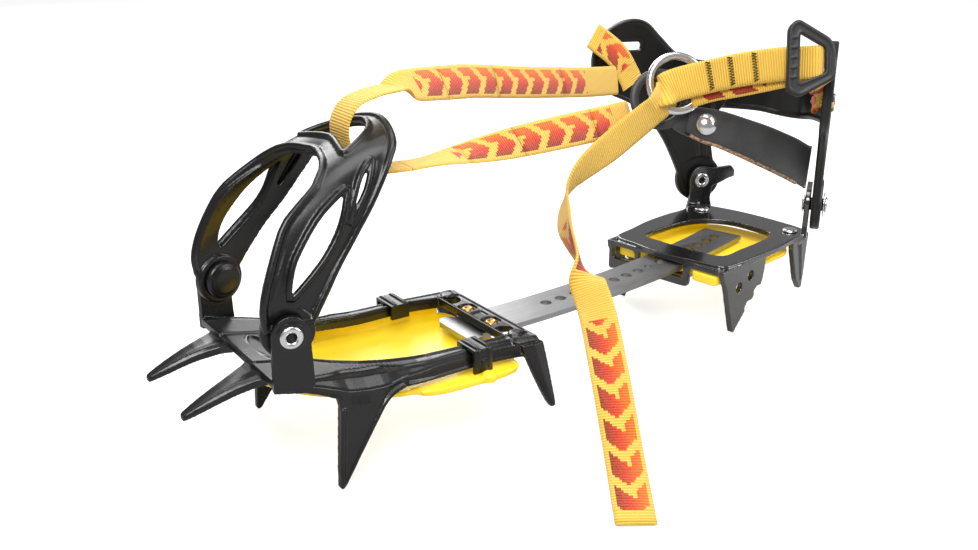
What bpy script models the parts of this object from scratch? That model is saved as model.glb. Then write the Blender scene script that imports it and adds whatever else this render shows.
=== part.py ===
"""Strap-on walking and glacier crampon with plastic toe and heel baskets.

Everything is in millimetres inside this script and metres in the scene.
+X runs from the toe to the heel, -Y is the near side, +Z is up. The numbers below are measured
from the ground, midway between the two toe posts; the last step moves the scene's origin to the
boot's rest on the front bridge.
"""

import math

import bmesh
import bpy
from mathutils import Matrix, Vector

MM = 0.001

# ------------------------------------------------------------------ driving dimensions, mm
ORIGIN = (104.0, 0.0, 37.7)    # the scene's origin: middle of the front bridge's top face
GAP = 0.3                      # clearance between pieces that touch on the real crampon
SHEET = 3.0                    # pressed steel thickness

FRAME_TOP = 38.0               # top of both frames above the ground
TOE_RISE = 10.5                # how much higher the frame is at the toe posts
RISE_FROM = 60.0               # the toe rise starts here and runs forward
CROSS_X = (98.0, 110.0)        # the bar bridge at the back of the front frame
RAIL_DROP = 7.0                # depth of the rail's outer flange

TOE_POST_Y = 38.0
TOE_RIVET_Z = 66.5
TOE_IN = 12.0                  # degrees, the toe posts follow the boot's toe
POST_W = 14.0
POST_T = 2.8
TOE_DISC_R = 10.0

BAR_W = 22.0
BAR_T = 2.5
BAR_TOP = 33.7
BAR_PITCH = 9.1                # one boot-length step
BAR_BEND_X = 120.0             # the bar is straight up to here, then follows an arc
BAR_BEND_R = 600.0             # radius of that arc
BAR_Y = -4.2

HEEL_A0 = 231.2                # origin of the heel section: middle of its front edge
HEEL_B0 = 6.1
HEEL_YAW = 9.44                # degrees, the heel section lies along the end of the bar's arc
HEEL_POST = (77.3, 35.5)       # rivet axis in heel coordinates
HEEL_RIVET_Z = 54.0
HEEL_TOE_IN = {1: 32.0, -1: 26.0}    # degrees; the near wing is pulled in by the webbing
HEEL_DISC_R = 13.5

RIVET_R = 3.4                  # tubular rivet shank
RIVET_HEAD_R = 4.3
RIVET_BORE_R = 1.9

WEB = 15.5                     # webbing width
WEB_T = 1.3

STEEL_BLACK = (0.012, 0.012, 0.013, 1)
HEEL_GREY = (0.06, 0.06, 0.062, 1)
BARE_STEEL = (0.42, 0.42, 0.42, 1)
SILVER = (0.75, 0.75, 0.76, 1)
BRASS = (0.45, 0.25, 0.08, 1)
PLASTIC_BLACK = (0.014, 0.014, 0.015, 1)
PLASTIC_GREY = (0.03, 0.03, 0.034, 1)
YELLOW_RUBBER = (0.95, 0.72, 0.02, 1)
YELLOW_WEB = (0.90, 0.62, 0.12, 1)
BAND_GREY = (0.03, 0.03, 0.03, 1)


# ------------------------------------------------------------------ scene and materials
def clear_scene():
    for obj in list(bpy.data.objects):
        bpy.data.objects.remove(obj, do_unlink=True)


def material(name, colour, rough, metal):
    mat = bpy.data.materials.new(name)
    mat.use_nodes = True
    shader = mat.node_tree.nodes["Principled BSDF"]
    shader.inputs["Base Color"].default_value = colour
    shader.inputs["Roughness"].default_value = rough
    shader.inputs["Metallic"].default_value = metal
    mat.diffuse_color = colour
    return mat


# ------------------------------------------------------------------ geometry helpers
def add_object(name, verts, faces, mat, place=None):
    """A mesh object from millimetre points, placed by a millimetre matrix."""
    place = place or Matrix.Identity(4)
    mesh = bpy.data.meshes.new(name)
    mesh.from_pydata([(place @ Vector(v)) * MM for v in verts], [], faces)
    mesh.materials.append(mat)
    obj = bpy.data.objects.new(name, mesh)
    bpy.context.collection.objects.link(obj)
    bm = bmesh.new()
    bm.from_mesh(mesh)
    bmesh.ops.remove_doubles(bm, verts=bm.verts, dist=1e-6)
    bmesh.ops.recalc_face_normals(bm, faces=bm.faces)
    bm.to_mesh(mesh)
    bm.free()
    return obj


def bake(obj):
    """Replace the object's mesh by its modified mesh."""
    graph = bpy.context.evaluated_depsgraph_get()
    mesh = bpy.data.meshes.new_from_object(obj.evaluated_get(graph))
    obj.modifiers.clear()
    obj.data = mesh
    return obj


def boolean(obj, tools, operation):
    for tool in tools:
        mod = obj.modifiers.new(operation.lower(), "BOOLEAN")
        mod.operation = operation
        mod.solver = "EXACT"
        mod.object = tool
    bake(obj)
    for tool in tools:
        bpy.data.objects.remove(tool, do_unlink=True)
    bm = bmesh.new()
    bm.from_mesh(obj.data)
    bmesh.ops.remove_doubles(bm, verts=bm.verts, dist=3e-6)
    bmesh.ops.dissolve_degenerate(bm, edges=bm.edges, dist=3e-6)
    bm.to_mesh(obj.data)
    bm.free()
    return obj


def union(obj, *tools):
    return boolean(obj, tools, "UNION")


def cut(obj, *tools):
    return boolean(obj, tools, "DIFFERENCE")


def grid_faces(rows, columns, closed=False):
    faces = []
    for i in range(rows - 1):
        for j in range(columns - 1 + (1 if closed else 0)):
            k = (j + 1) % columns
            faces.append((i * columns + j, i * columns + k, (i + 1) * columns + k, (i + 1) * columns + j))
    return faces


def sheet(name, rows, thickness, mat, outward=(0, 0, 1), place=None):
    """A pressed sheet: a grid of points on its outer face, thickened away from outward."""
    columns = len(rows[0])
    obj = add_object(name, [p for row in rows for p in row], grid_faces(len(rows), columns), mat, place)
    facing = sum(face.normal.dot(Vector(outward)) * face.area for face in obj.data.polygons)
    if facing < 0:
        obj.data.flip_normals()
    mod = obj.modifiers.new("thickness", "SOLIDIFY")
    mod.thickness = thickness * MM
    mod.offset = -1.0
    mod.use_even_offset = False
    return bake(obj)


def loft(name, sections, mat, place=None):
    """A closed solid through closed sections that all have the same number of points."""
    n = len(sections[0])
    faces = grid_faces(len(sections), n, closed=True)
    last = (len(sections) - 1) * n
    faces.append(tuple(range(n - 1, -1, -1)))
    faces.append(tuple(last + i for i in range(n)))
    return add_object(name, [p for s in sections for p in s], faces, mat, place)


def plate(name, outline, z0, z1, mat, place=None, holes=()):
    """A flat plate cut from sheet: an outline and its holes in XY, from z0 to z1."""
    curve = bpy.data.curves.new(name, "CURVE")
    curve.dimensions = "2D"
    curve.fill_mode = "BOTH"
    curve.extrude = abs(z1 - z0) / 2 * MM
    for ring in (outline, *holes):
        spline = curve.splines.new("POLY")
        spline.points.add(len(ring) - 1)
        for point, (x, y) in zip(spline.points, ring):
            point.co = (x * MM, y * MM, 0, 1)
        spline.use_cyclic_u = True
    source = bpy.data.objects.new(name + "_outline", curve)
    bpy.context.collection.objects.link(source)
    graph = bpy.context.evaluated_depsgraph_get()
    mesh = bpy.data.meshes.new_from_object(source.evaluated_get(graph))
    bpy.data.objects.remove(source, do_unlink=True)
    middle = Matrix.Translation((0, 0, (z0 + z1) / 2))
    place = (place or Matrix.Identity(4)) @ middle
    verts = [v.co / MM for v in mesh.vertices]
    faces = [tuple(p.vertices) for p in mesh.polygons]
    return add_object(name, verts, faces, mat, place)


def block(name, x, y, z, mat, place=None):
    outline = [(x[0], y[0]), (x[1], y[0]), (x[1], y[1]), (x[0], y[1])]
    return plate(name, outline, z[0], z[1], mat, place)


def circle(cx, cy, r, n=24):
    return [(cx + r * math.cos(2 * math.pi * i / n), cy + r * math.sin(2 * math.pi * i / n)) for i in range(n)]


def turned(name, profile, mat, place, steps=32, closed=False):
    """A turned piece: (radius, height) points about the local Z axis."""
    verts, faces, n = [], [], len(profile)
    for i in range(steps):
        a = 2 * math.pi * i / steps
        verts += [(r * math.cos(a), r * math.sin(a), h) for r, h in profile]
    for i in range(steps):
        k = (i + 1) % steps
        for j in range(n if closed else n - 1):
            m = (j + 1) % n
            faces.append((i * n + j, k * n + j, k * n + m, i * n + m))
    if not closed:
        faces.append(tuple(i * n for i in range(steps)))
        faces.append(tuple(i * n + n - 1 for i in reversed(range(steps))))
    return add_object(name, verts, faces, mat, place)


def rounded(points, radius, steps=5):
    """A closed outline with each corner rounded."""
    out, n = [], len(points)
    for i, (x, y) in enumerate(points):
        p, a, b = Vector((x, y)), Vector(points[i - 1]), Vector(points[(i + 1) % n])
        u, v = (a - p), (b - p)
        r = min(radius, u.length * 0.45, v.length * 0.45)
        s, e = p + u.normalized() * r, p + v.normalized() * r
        for k in range(steps + 1):
            t = k / steps
            q = s * (1 - t) ** 2 + p * 2 * t * (1 - t) + e * t * t
            out.append((q.x, q.y))
    return out


def smooth_closed(points, steps=6):
    """A closed Catmull-Rom curve through the points."""
    out, n = [], len(points)
    for i in range(n):
        p = [Vector(points[(i + k) % n]) for k in (-1, 0, 1, 2)]
        for s in range(steps):
            q = catmull(p, s / steps)
            out.append(tuple(q))
    return out


def catmull(p, t):
    return 0.5 * ((2 * p[1]) + (p[2] - p[0]) * t + (2 * p[0] - 5 * p[1] + 4 * p[2] - p[3]) * t * t
                  + (3 * p[1] - p[0] - 3 * p[2] + p[3]) * t ** 3)


def smooth_path(points, steps=6):
    """An open Catmull-Rom curve through the points."""
    pts = [Vector(p) for p in points]
    pts = [pts[0] * 2 - pts[1]] + pts + [pts[-1] * 2 - pts[-2]]
    out = []
    for i in range(1, len(pts) - 2):
        for s in range(steps):
            out.append(catmull(pts[i - 1:i + 3], s / steps))
    out.append(pts[-2])
    return out


def ribbon(name, path, widths, thickness, mat, place=None, steps=6, width=None):
    """A flat strip along a path. widths are the half-width vectors at the path's control points."""
    centre = smooth_path(path, steps)
    across = smooth_path(widths, steps)
    sections = []
    for i, c in enumerate(centre):
        ahead = centre[min(i + 1, len(centre) - 1)] - centre[max(i - 1, 0)]
        w = across[i] - ahead.normalized() * across[i].dot(ahead.normalized())
        if width:
            w = w.normalized() * width / 2
        t = ahead.cross(w).normalized() * thickness / 2
        sections.append([c - w - t, c + w - t, c + w + t, c - w + t])
    return loft(name, sections, mat, place)


def tube(name, path, radius, mat, place=None, sides=8, steps=6):
    """A round bar along a path."""
    centre = smooth_path(path, steps)
    sections, side = [], Vector((0.1, 0.3, 1))
    for i, c in enumerate(centre):
        ahead = (centre[min(i + 1, len(centre) - 1)] - centre[max(i - 1, 0)]).normalized()
        u = (side - ahead * side.dot(ahead)).normalized()
        v = ahead.cross(u)
        sections.append([c + (u * math.cos(2 * math.pi * k / sides) + v * math.sin(2 * math.pi * k / sides)) * radius
                         for k in range(sides)])
    return loft(name, sections, mat, place)


def table(x, points):
    """Straight-line interpolation through (x, value) points in rising x."""
    if x <= points[0][0]:
        return points[0][1]
    for (x0, v0), (x1, v1) in zip(points, points[1:]):
        if x <= x1:
            return v0 + (v1 - v0) * (x - x0) / (x1 - x0)
    return points[-1][1]


def face_matrix(origin, normal, up=(0, 0, 1)):
    """Local Z along normal, local Y as near up as it can be."""
    z = Vector(normal).normalized()
    x = Vector(up).cross(z).normalized()
    y = z.cross(x)
    m = Matrix((x, y, z)).transposed().to_4x4()
    m.translation = Vector(origin)
    return m


# ------------------------------------------------------------------ shared layout
HEEL = (Matrix.Translation((HEEL_A0, HEEL_B0, 0))
        @ Matrix.Rotation(math.radians(HEEL_YAW), 4, "Z"))


def toe_post_matrix(side):
    """Local Z points outward through the rivet, local Y up, local X backwards or forwards."""
    a = math.radians(TOE_IN)
    return face_matrix((0, side * TOE_POST_Y, TOE_RIVET_Z), (-math.sin(a), side * math.cos(a), 0))


def heel_post_matrix(side):
    a = math.radians(HEEL_TOE_IN[side])
    local = face_matrix((HEEL_POST[0], side * HEEL_POST[1], HEEL_RIVET_Z),
                        (math.sin(a), side * math.cos(a), 0))
    return HEEL @ local


def bar_point(s, offset=0.0, z=0.0):
    """A point on the bar: s along it from the bend, offset towards +Y."""
    if s <= 0:
        return Vector((BAR_BEND_X + s, BAR_Y + offset, z))
    a = s / BAR_BEND_R
    r = BAR_BEND_R - offset
    return Vector((BAR_BEND_X + r * math.sin(a), BAR_Y + BAR_BEND_R - r * math.cos(a), z))


def front_top(x):
    """Height of the front frame's top face."""
    return FRAME_TOP + TOE_RISE * max(0.0, (RISE_FROM - x) / RISE_FROM) ** 1.3


# ------------------------------------------------------------------ front frame
# Each side is one pressed rail. Along x: inner edge, outer edge, bend radius of the outer corner,
# and height of the flange's lower edge, which drops to the ground at the big side tooth.
NEAR_IN = [(-8, 15), (6, 15), (15, 15.6), (23, 19.6), (33, 22.6), (42, 24), (60, 25.5), (84, 28.5), (98, 30), (110, 31)]
NEAR_OUT = [(-8, 36.6), (0, 37.4), (18, 39), (30, 39), (45, 36.8), (60, 35.2), (84, 35.6), (98, 38), (110, 41.5)]
FAR_IN = [(-8, 15), (6, 15), (15, 15.6), (23, 19.6), (33, 22), (42, 23.5), (60, 24.5), (84, 24), (98, 20), (110, 18)]
FAR_OUT = [(-8, 36.6), (0, 37.4), (18, 39), (30, 38), (45, 35.4), (60, 33.4), (84, 32), (98, 30), (110, 28.5)]
BEND = [(-8, 4), (8, 5), (16, 8), (22, 11), (38, 11), (48, 6), (60, 4), (110, 4)]
EDGE = [(16.2, None), (17.0, 33.5), (17.5, 20), (18.0, 7), (18.6, 0.6), (19.4, 0), (20.6, 0.5), (21.6, 2.4),
        (30.0, 17.5), (37.0, 28.2), (40.5, 31.0), (45.0, 32.2)]
RAKE = 0.13                    # the tooth leans forward by this much per mm of drop


def flange_edge(x):
    rail = front_top(x) - table(x, [(6, 4.6), (14, RAIL_DROP)])
    if x < 16.2 or x > 45:
        return rail
    return min(rail, table(x, [(16.2, front_top(16.2) - RAIL_DROP)] + EDGE[1:]))


def side_rail(side, inner, outer, mat):
    """A pressed channel: lip, top, bend and flange, lofted as closed sections along x."""
    stations = [-7, -2, 4, 9, 12, 14.5, 16.2, 17.0, 17.5, 18.0, 18.6, 19.4, 20.6, 21.6, 24, 27, 30, 33.5, 37,
                40.5, 45, 50, 56, 63, 72, 82, 91, 98, 104, 109]
    sections = []
    for x in stations:
        top, yi, yo = front_top(x), table(x, inner), table(x, outer)
        r, low, t = table(x, BEND), flange_edge(x), SHEET
        outside = [(yi, top - 4.5), (yi, top - 1.2), (yi + 1.2, top)]
        outside += [(yo - r + r * math.sin(q), top - r + r * math.cos(q)) for q in (math.pi / 6 * k for k in range(4))]
        flange = [(yo + 0.01 * k * (top - r - low), top - r + (low - (top - r)) * k / 5) for k in range(1, 6)]
        inside = [(y - t, z) for y, z in flange[::-1]]
        inside += [(yo - r + (r - t) * math.sin(q), top - r + (r - t) * math.cos(q))
                   for q in (math.pi / 6 * k for k in range(3, -1, -1))]
        inside += [(yi + t + 0.6, top - t), (yi + t, top - t - 0.6), (yi + t, top - 4.5)]
        ring = outside + flange + inside
        sections.append([(x - RAKE * max(0.0, 34 - z), side * y, z) for y, z in ring])
    return loft("rail", sections, mat)


def front_point(side, mat):
    """One forward point: a ridged spike that leaves the toe web and curves down."""
    width = [(-36, 1.1), (-34.5, 2.2), (-30, 3.2), (-22, 4.5), (-15, 5.8), (-9, 7.6), (-5, 10.0), (0, 13.0)]
    middle = [(-36, 18.8), (-20, 18.4), (-8, 17.4), (0, 16)]
    sections = []
    for x in (-35.6, -34.6, -32, -28, -24, -20, -16, -12, -9, -6, -3, 1):
        drop = 10.2 * max(0.0, (-3 - x) / 33) ** 1.5
        z = front_top(max(x, -3)) - 0.4 - drop
        w, y = table(x, width), table(x, middle)
        deep = table(x, [(-35.6, 2.4), (-28, 3.4), (-12, 4.4)])
        ring = [(-1, -1.3), (-0.75, 0), (-0.3, -0.5), (0, -0.7), (0.3, -0.5), (0.75, 0), (1, -1.3), (0.9, -deep), (-0.9, -deep)]
        sections.append([(x, side * (y + w * k), z + rise) for k, rise in ring])
    return loft("point", sections, mat)


def rear_tooth(side, y_top, y_tip, mat):
    """The pointed leaf at the back corner of the front frame."""
    sections = []
    for z, x0, x1, t in ((36.6, 99.8, 110.4, 0), (30, 102.0, 111.8, 0.2), (22, 105.2, 113.2, 0.45),
                         (14, 108.6, 114.4, 0.75), (9, 111.0, 115.2, 0.9), (6.2, 112.8, 115.2, 1.0)):
        y, xm = y_top + (y_tip - y_top) * t, (x0 + x1) / 2
        rib = 1.1 * (x1 - x0) / 10
        sections.append([(x0, side * y, z), (xm, side * (y + rib), z), (x1, side * y, z),
                         (x1, side * (y - 2.6), z), (xm, side * (y - 2.6 + rib), z), (x0, side * (y - 2.6), z)])
    return loft("tooth", sections, mat)


def post_outline(width, below, top_r):
    """A strip with a round top, in the post's plane, with the rivet at the origin."""
    h = width / 2
    arc = [(h * math.cos(a), top_r * math.sin(a)) for a in (math.pi * k / 14 for k in range(15))]
    return [(-h - 0.6, -below), (h + 0.6, -below)] + arc


def make_front_frame(mat):
    frame = side_rail(-1, NEAR_IN, NEAR_OUT, mat)
    frame.name = "front_frame"
    pieces = [side_rail(1, FAR_IN, FAR_OUT, mat)]
    web = [[(x, y, front_top(x) - 0.4 + 0.25 * math.cos(math.pi * y / 34)) for y in (-34, -26, -18, -9, 0, 9, 18, 26, 34)]
           for x in (-6, -3, 0, 4, 8, 13)]
    pieces.append(sheet("web", web, SHEET, mat))
    pieces += [front_point(-1, mat), front_point(1, mat)]
    for side in (-1, 1):
        outline = post_outline(POST_W, TOE_RIVET_Z - 45.4, 7.6)
        pieces.append(plate("post", outline, -POST_T, 0, mat, toe_post_matrix(side)))
    bridge = [(CROSS_X[0], -39), (CROSS_X[1] - 0.4, -41), (CROSS_X[1] - 0.4, 28), (CROSS_X[0], 28)]
    pieces.append(plate("bridge", rounded(bridge, 3), FRAME_TOP - 3.2, FRAME_TOP - 0.3, mat))
    pieces += [rear_tooth(-1, 41.2, 44.5, mat), rear_tooth(1, 28.4, 32.0, mat)]
    union(frame, *pieces)
    tools = [turned("bore", [(RIVET_R + GAP, -9), (RIVET_R + GAP, 9)], mat, toe_post_matrix(s)) for s in (-1, 1)]
    tools += [turned("slot", [(4.2, -9), (4.2, 9)], mat, Matrix.Translation((102.5, y, FRAME_TOP)), 24)
              for y in (-24.5, 16.5)]
    return cut(frame, *tools)


# ------------------------------------------------------------------ turned hardware
def tubular_rivet(name, place, z0, z1, mat):
    """A hollow rivet with a rolled head at each end; the heads lie outside z0 and z1."""
    b, s, h = RIVET_BORE_R, RIVET_R, RIVET_HEAD_R
    profile = [(b, z0 - 0.6), (b + 0.5, z0 - 1.2), (h - 0.8, z0 - 1.2), (h, z0 - 0.5), (h, z0), (s, z0),
               (s, z1), (h, z1), (h, z1 + 0.5), (h - 0.8, z1 + 1.2), (b + 0.5, z1 + 1.2), (b, z1 + 0.6)]
    return turned(name, profile, mat, place, 20, closed=True)


def domed_rivet(name, place, radius, height, shank_r, depth, mat):
    dome = [(radius * math.cos(a), height * math.sin(a)) for a in (math.pi / 2 * k / 5 for k in range(5))]
    profile = [(0.4, height)] + dome[::-1] + [(shank_r, 0), (shank_r, -depth)]
    return turned(name, profile, mat, place, 20)


def washer(name, place, inner, outer, z0, z1, mat):
    return turned(name, [(inner, z0), (outer, z0), (outer, z1), (inner, z1)], mat, place, 24, closed=True)


# ------------------------------------------------------------------ heel frame
HEEL_OUTLINE = [(-1, 33.5), (15, 36.2), (32, 38.2), (50, 38), (63, 36.6), (73.5, 38.2), (80, 34), (83.4, 20),
                (84.5, 4), (83.6, -14), (81, -30), (74.5, -38), (62, -36.4), (45, -37.4), (24, -37), (9, -36),
                (-1.5, -33.5), (-4, -20), (-6, -5), (-6, 6), (-4.2, 18)]
HEEL_OPENING = [(11, 23.5), (28, 24.5), (46, 22.5), (58, 16), (64.5, 4), (64, -12), (60, -23.5), (44, -25.5),
                (28, -25), (12, -24), (9, -10), (8.4, 0), (9, 12)]
TOOTH_FRONT = [(-6.0, 36.6), (-5.6, 33), (-1.8, 26.5), (6.6, 0.9), (8.4, 0), (9.6, 1.6), (17.6, 9.0), (17.4, 11.8),
               (19.4, 14.0), (23.6, 14.0), (25.4, 16.0), (25.2, 18.4), (27.4, 20.4), (31.4, 20.2), (32.6, 22.4),
               (34.2, 31.5), (34.4, 36.6)]
TOOTH_REAR = [(61.4, 36.6), (62.2, 31), (69.0, 12.4), (73.8, 6.0), (76.2, 6.4), (77.2, 13.4), (77.6, 31), (78.2, 36.6)]


def side_plate(name, outline, b_out, side, mat, holes=()):
    """An upright plate whose outer face is b_out from the heel's centre line, drawn in (a, z)."""
    place = HEEL @ Matrix(((1, 0, 0, 0), (0, 0, side, side * (b_out - SHEET)), (0, 1, 0, 0), (0, 0, 0, 1)))
    return plate(name, outline, 0, SHEET, mat, place, holes)


def front_wall(mat):
    """The folded flange under the heel plate's front edge: one window, the bar's mouth and its stop tab."""
    place = HEEL @ Matrix(((0, 0, 1, -5.2), (1, 0, 0, 0), (0, 1, 0, 0), (0, 0, 0, 1)))
    outline = rounded([(-35.6, 36.4), (-35.6, 33.4), (-17.0, 33.6), (-15.4, 31.0), (-15.2, 23.0), (8.0, 22.6),
                       (18.5, 24.4), (35.6, 20.0), (35.6, 36.4)], 2.2)
    windows = [rounded([(18.6, 27.6), (33.4, 26.6), (33.4, 33.6), (18.6, 34)], 2.9),
               rounded([(-12, 27.4), (16.2, 27.4), (16.2, 34.4), (-12, 34.4)], 1.4)]
    return plate("wall", outline, 0, 2.6, mat, place, windows)


def make_heel_frame(mat):
    outline = smooth_closed(HEEL_OUTLINE, 4)
    frame = plate("heel_frame", outline, FRAME_TOP - SHEET, FRAME_TOP, mat, HEEL, [smooth_closed(HEEL_OPENING, 4)])
    pieces = [front_wall(mat)]
    for side in (-1, 1):
        holes = [circle(20.3, 28.2, 2.7, 16), circle(9.9, 24.4, 2.7, 16)]
        pieces.append(side_plate("tooth", TOOTH_FRONT, 36.6, side, mat, holes))
        pieces.append(side_plate("tooth", TOOTH_REAR, 36.4, side, mat))
        outline = heel_post_outline(side)
        pieces.append(plate("post", outline, -POST_T, 0, mat, heel_post_matrix(side)))
    union(frame, *pieces)
    tools = [turned("bore", [(RIVET_R + GAP, -9), (RIVET_R + GAP, 9)], mat, heel_post_matrix(s)) for s in (-1, 1)]
    tools += [turned("bore", [(2.2 + GAP, -9), (2.2 + GAP, 9)], mat, HEEL @ Matrix.Translation((71.5, b, FRAME_TOP)), 20)
              for b in (-28.5, 28.5)]
    return cut(frame, *tools)


def heel_post_outline(side):
    """The post's round top carries a stop horn that points backwards."""
    h = 6.4
    arc = [(7.0 * math.cos(a), 8.0 * math.sin(a)) for a in (math.pi * k / 14 for k in range(15))]
    horn = [(7.4, -4.2), (12.5, -2.2), (17.5, 0.2), (20.6, 1.0), (20.8, 4.6), (18.6, 7.4), (14.0, 7.0), (7.6, 6.6), (2.2, 7.6)]
    points = [(-h - 1.4, -17.6), (h + 1.4, -17.6), (h, -11)] + horn + arc[6:] + [(-h, -11)]
    # local X of the post's matrix points forwards on one side and backwards on the other
    back = heel_post_matrix(side).to_3x3() @ Vector((1, 0, 0))
    if back.x < 0:
        points = [(-x, y) for x, y in points][::-1]
    return points


# ------------------------------------------------------------------ link bar
def make_link_bar(mat):
    """A flat bar with a T-head at the toe end; the heel end follows an arc."""
    h, t = BAR_W / 2, 13.6
    head = [(-30.5, -t + 3), (-28.5, -t), (-24, -t), (-22.6, -t + 1.6), (-22.6, -h)]
    right = [bar_point(x, y) for x, y in head]
    right += [bar_point(s, -h) for s in range(0, 169, 12)]
    left = [bar_point(s, h) for s in range(168, -1, -12)]
    left += [bar_point(x, -y) for x, y in head[::-1]]
    outline = [(p.x, p.y) for p in right + left]
    first = 141.6 - BAR_BEND_X
    holes = []
    for k in range(16):
        p = bar_point(first + BAR_PITCH * k)
        holes.append(circle(p.x, p.y, 2.7, 18))
    return plate("link_bar", outline, BAR_TOP - BAR_T, BAR_TOP, mat, None, holes)


# ------------------------------------------------------------------ yellow anti-balling plates
def make_front_plate(mat):
    """Flexible plate under the front frame that throws snow off; it shows through the frame."""
    outline = smooth_closed([(2, 10), (12, 16.5), (30, 26), (60, 30.5), (92, 29), (104, 24), (106, 0), (104, -28),
                             (94, -36.4), (72, -34.6), (52, -34.2), (34, -30), (14, -22), (2, -12), (-1, 0)], 4)
    top = []
    for x, y in outline:
        top.append((x, y))
    n = len(top)

    def lift(x, z):
        return z + 9.0 * max(0.0, (52 - x) / 52) ** 1.4

    cx = sum(x for x, _ in top) / n
    cy = sum(y for _, y in top) / n
    rings = []
    for k, (scale, dz) in enumerate(((0.0, -3.0), (0.45, -2.2), (0.8, -0.6), (1.0, 0.0))):
        rings.append([(cx + (x - cx) * scale, cy + (y - cy) * scale, dz) for x, y in top])
    verts, faces = [], []
    for z0, base in ((28.4, 0), (26.2, 1)):
        for ring in rings[1:]:
            verts += [(x, y, lift(x, z0) + dz) for x, y, dz in ring]
        verts.append((cx, cy, lift(cx, z0) - 3.0))
    span = 3 * n + 1
    for base, flip in ((0, False), (span, True)):
        for r in range(2):
            for i in range(n):
                j = (i + 1) % n
                f = (base + r * n + i, base + (r + 1) * n + i, base + (r + 1) * n + j, base + r * n + j)
                faces.append(f[::-1] if flip else f)
        for i in range(n):
            f = (base + 3 * n, base + i, base + (i + 1) % n)
            faces.append(f[::-1] if flip else f)
    for i in range(n):
        j = (i + 1) % n
        faces.append((2 * n + i, 2 * n + j, span + 2 * n + j, span + 2 * n + i))
    tray = add_object("front_snow_plate", verts, faces, mat)
    tongue = [(50, -30), (53, -38.4), (62, -41.6), (90, -43.4), (98, -41.6), (100, -30)]
    return union(tray, plate("tongue", rounded(tongue, 5), 26.6, 29.0, mat),
                 turned("bump", [(1.4, 31.0), (2.6, 30.5), (3.2, 29.4), (3.2, 27)], mat, Matrix.Translation((82, -42.1, 0)), 24))


def make_heel_plate(mat):
    """Flexible plate under the heel frame, with two raised cheeks that bulge through its front edge."""
    outline = smooth_closed([(3, 31), (20, 32.4), (40, 32.8), (60, 31), (74, 22), (78, 4), (76, -18), (64, -32),
                             (45, -33), (20, -32.4), (3, -31), (2, -16), (2, 0), (2, 16)], 4)
    tray = plate("heel_snow_plate", outline, 27.4, 30.0, mat, HEEL)
    cheeks = []
    for y0, y1 in ((19.6, 32.4), (-32.8, -17.6)):
        cheek = rounded([(-6.6, y0), (-6.6, y1), (8, y1), (8, y0)], 3.5, 4)
        if y0 > 0:
            cheek = rounded([(-1.8, y0), (-1.8, y1), (8, y1), (8, y0)], 3.5, 4)
        cheeks.append(plate("cheek", cheek, 28.3, 33.0, mat, HEEL))
    union(tray, *cheeks)
    hole = bar_hole_near_front()
    return cut(tray, turned("bore", [(4.2, 20), (4.2, 36)], mat, HEEL @ Matrix.Translation((hole.x, hole.y, 0)), 20))


def frame_clip(name, x, side, y_in, y_out, mat):
    """A moulded clip that wraps a rail and holds the snow plate."""
    z = FRAME_TOP
    g = GAP
    outline = [(-1.8 - g, z - 5.2), (-1.8 - g, z + 1.6), (y_out - y_in + 1.8 + g, z + 1.6),
               (y_out - y_in + 1.8 + g, z - 8.8), (y_out - y_in + g, z - 8.8), (y_out - y_in + g, z + g),
               (-g, z + g), (-g, z - 5.2)]
    place = Matrix(((0, 0, 1, x), (side, 0, 0, side * y_in), (0, 1, 0, 0), (0, 0, 0, 1)))
    return plate(name, outline, 0, 9.0, mat, place)


# ------------------------------------------------------------------ baskets
# The toe hood is a flat pattern bent over the toe. In the pattern X runs across the boot, from
# -100 at the near pivot through 0 at the crown to 100 at the far pivot; Y runs from 0 at the
# front edge to 20 at the rear edge. The edges below start at the pivot and end at the crown.
HOOD_FRONT = [(-8.2, 32.2, 66.5), (-7.4, 33.0, 79), (-2.5, 31.5, 92), (5, 27.5, 105), (14, 22, 112.5), (24, 12.5, 118.5),
              (31.5, 0, 121)]
HOOD_REAR = [(8.8, 35.9, 66.5), (20, 33.5, 84), (31, 31, 97), (39.5, 30, 108), (48.5, 27, 120.5), (54.5, 20, 126.5),
             (59.5, 0, 130.5)]
HOOD_T = 3.4
HOOD_EDGE = [(0, 0), (7, 0.6), (16.7, 2.6), (25, 3.6), (35, 3.6), (42, 2.0), (50, 0.6), (58, 0), (72, 0), (86, 0),
             (98, 1.2), (98, 18.8), (86, 20), (72, 20), (58, 20), (44, 20), (30, 20), (15, 20), (0, 20)]
HOOD_OVAL = [(85, 7.4), (71.7, 5.4), (61.7, 6.0), (50, 8.0), (41.7, 11.4), (48.3, 12.6), (61.7, 14), (73.3, 13.4), (81.7, 10.6)]
HOOD_SLIT = [(58.5, 16.4), (56.7, 15.4), (46.7, 14.6), (38.3, 14.0), (30, 15.4), (36.7, 16.1), (45, 16.6), (53.3, 16.6)]
HOOD_STRAP = [(0, 5.6), (8, 6.2), (14, 7.2), (19.5, 8.4), (16.5, 10.2), (12.4, 12.4), (7.5, 14.6), (0, 15.6)]


def edge_point(points, t):
    """A point on a hood edge: t is 0 at the pivot and 1 at the crown."""
    first, last = Vector(points[0]), Vector(points[-2])
    pts = [first * 2 - Vector(points[1])] + [Vector(p) for p in points] + [Vector((last.x, -last.y, last.z))]
    n = len(points) - 1
    k = min(int(t * n), n - 1)
    return catmull(pts[k:k + 4], t * n - k)


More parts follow.
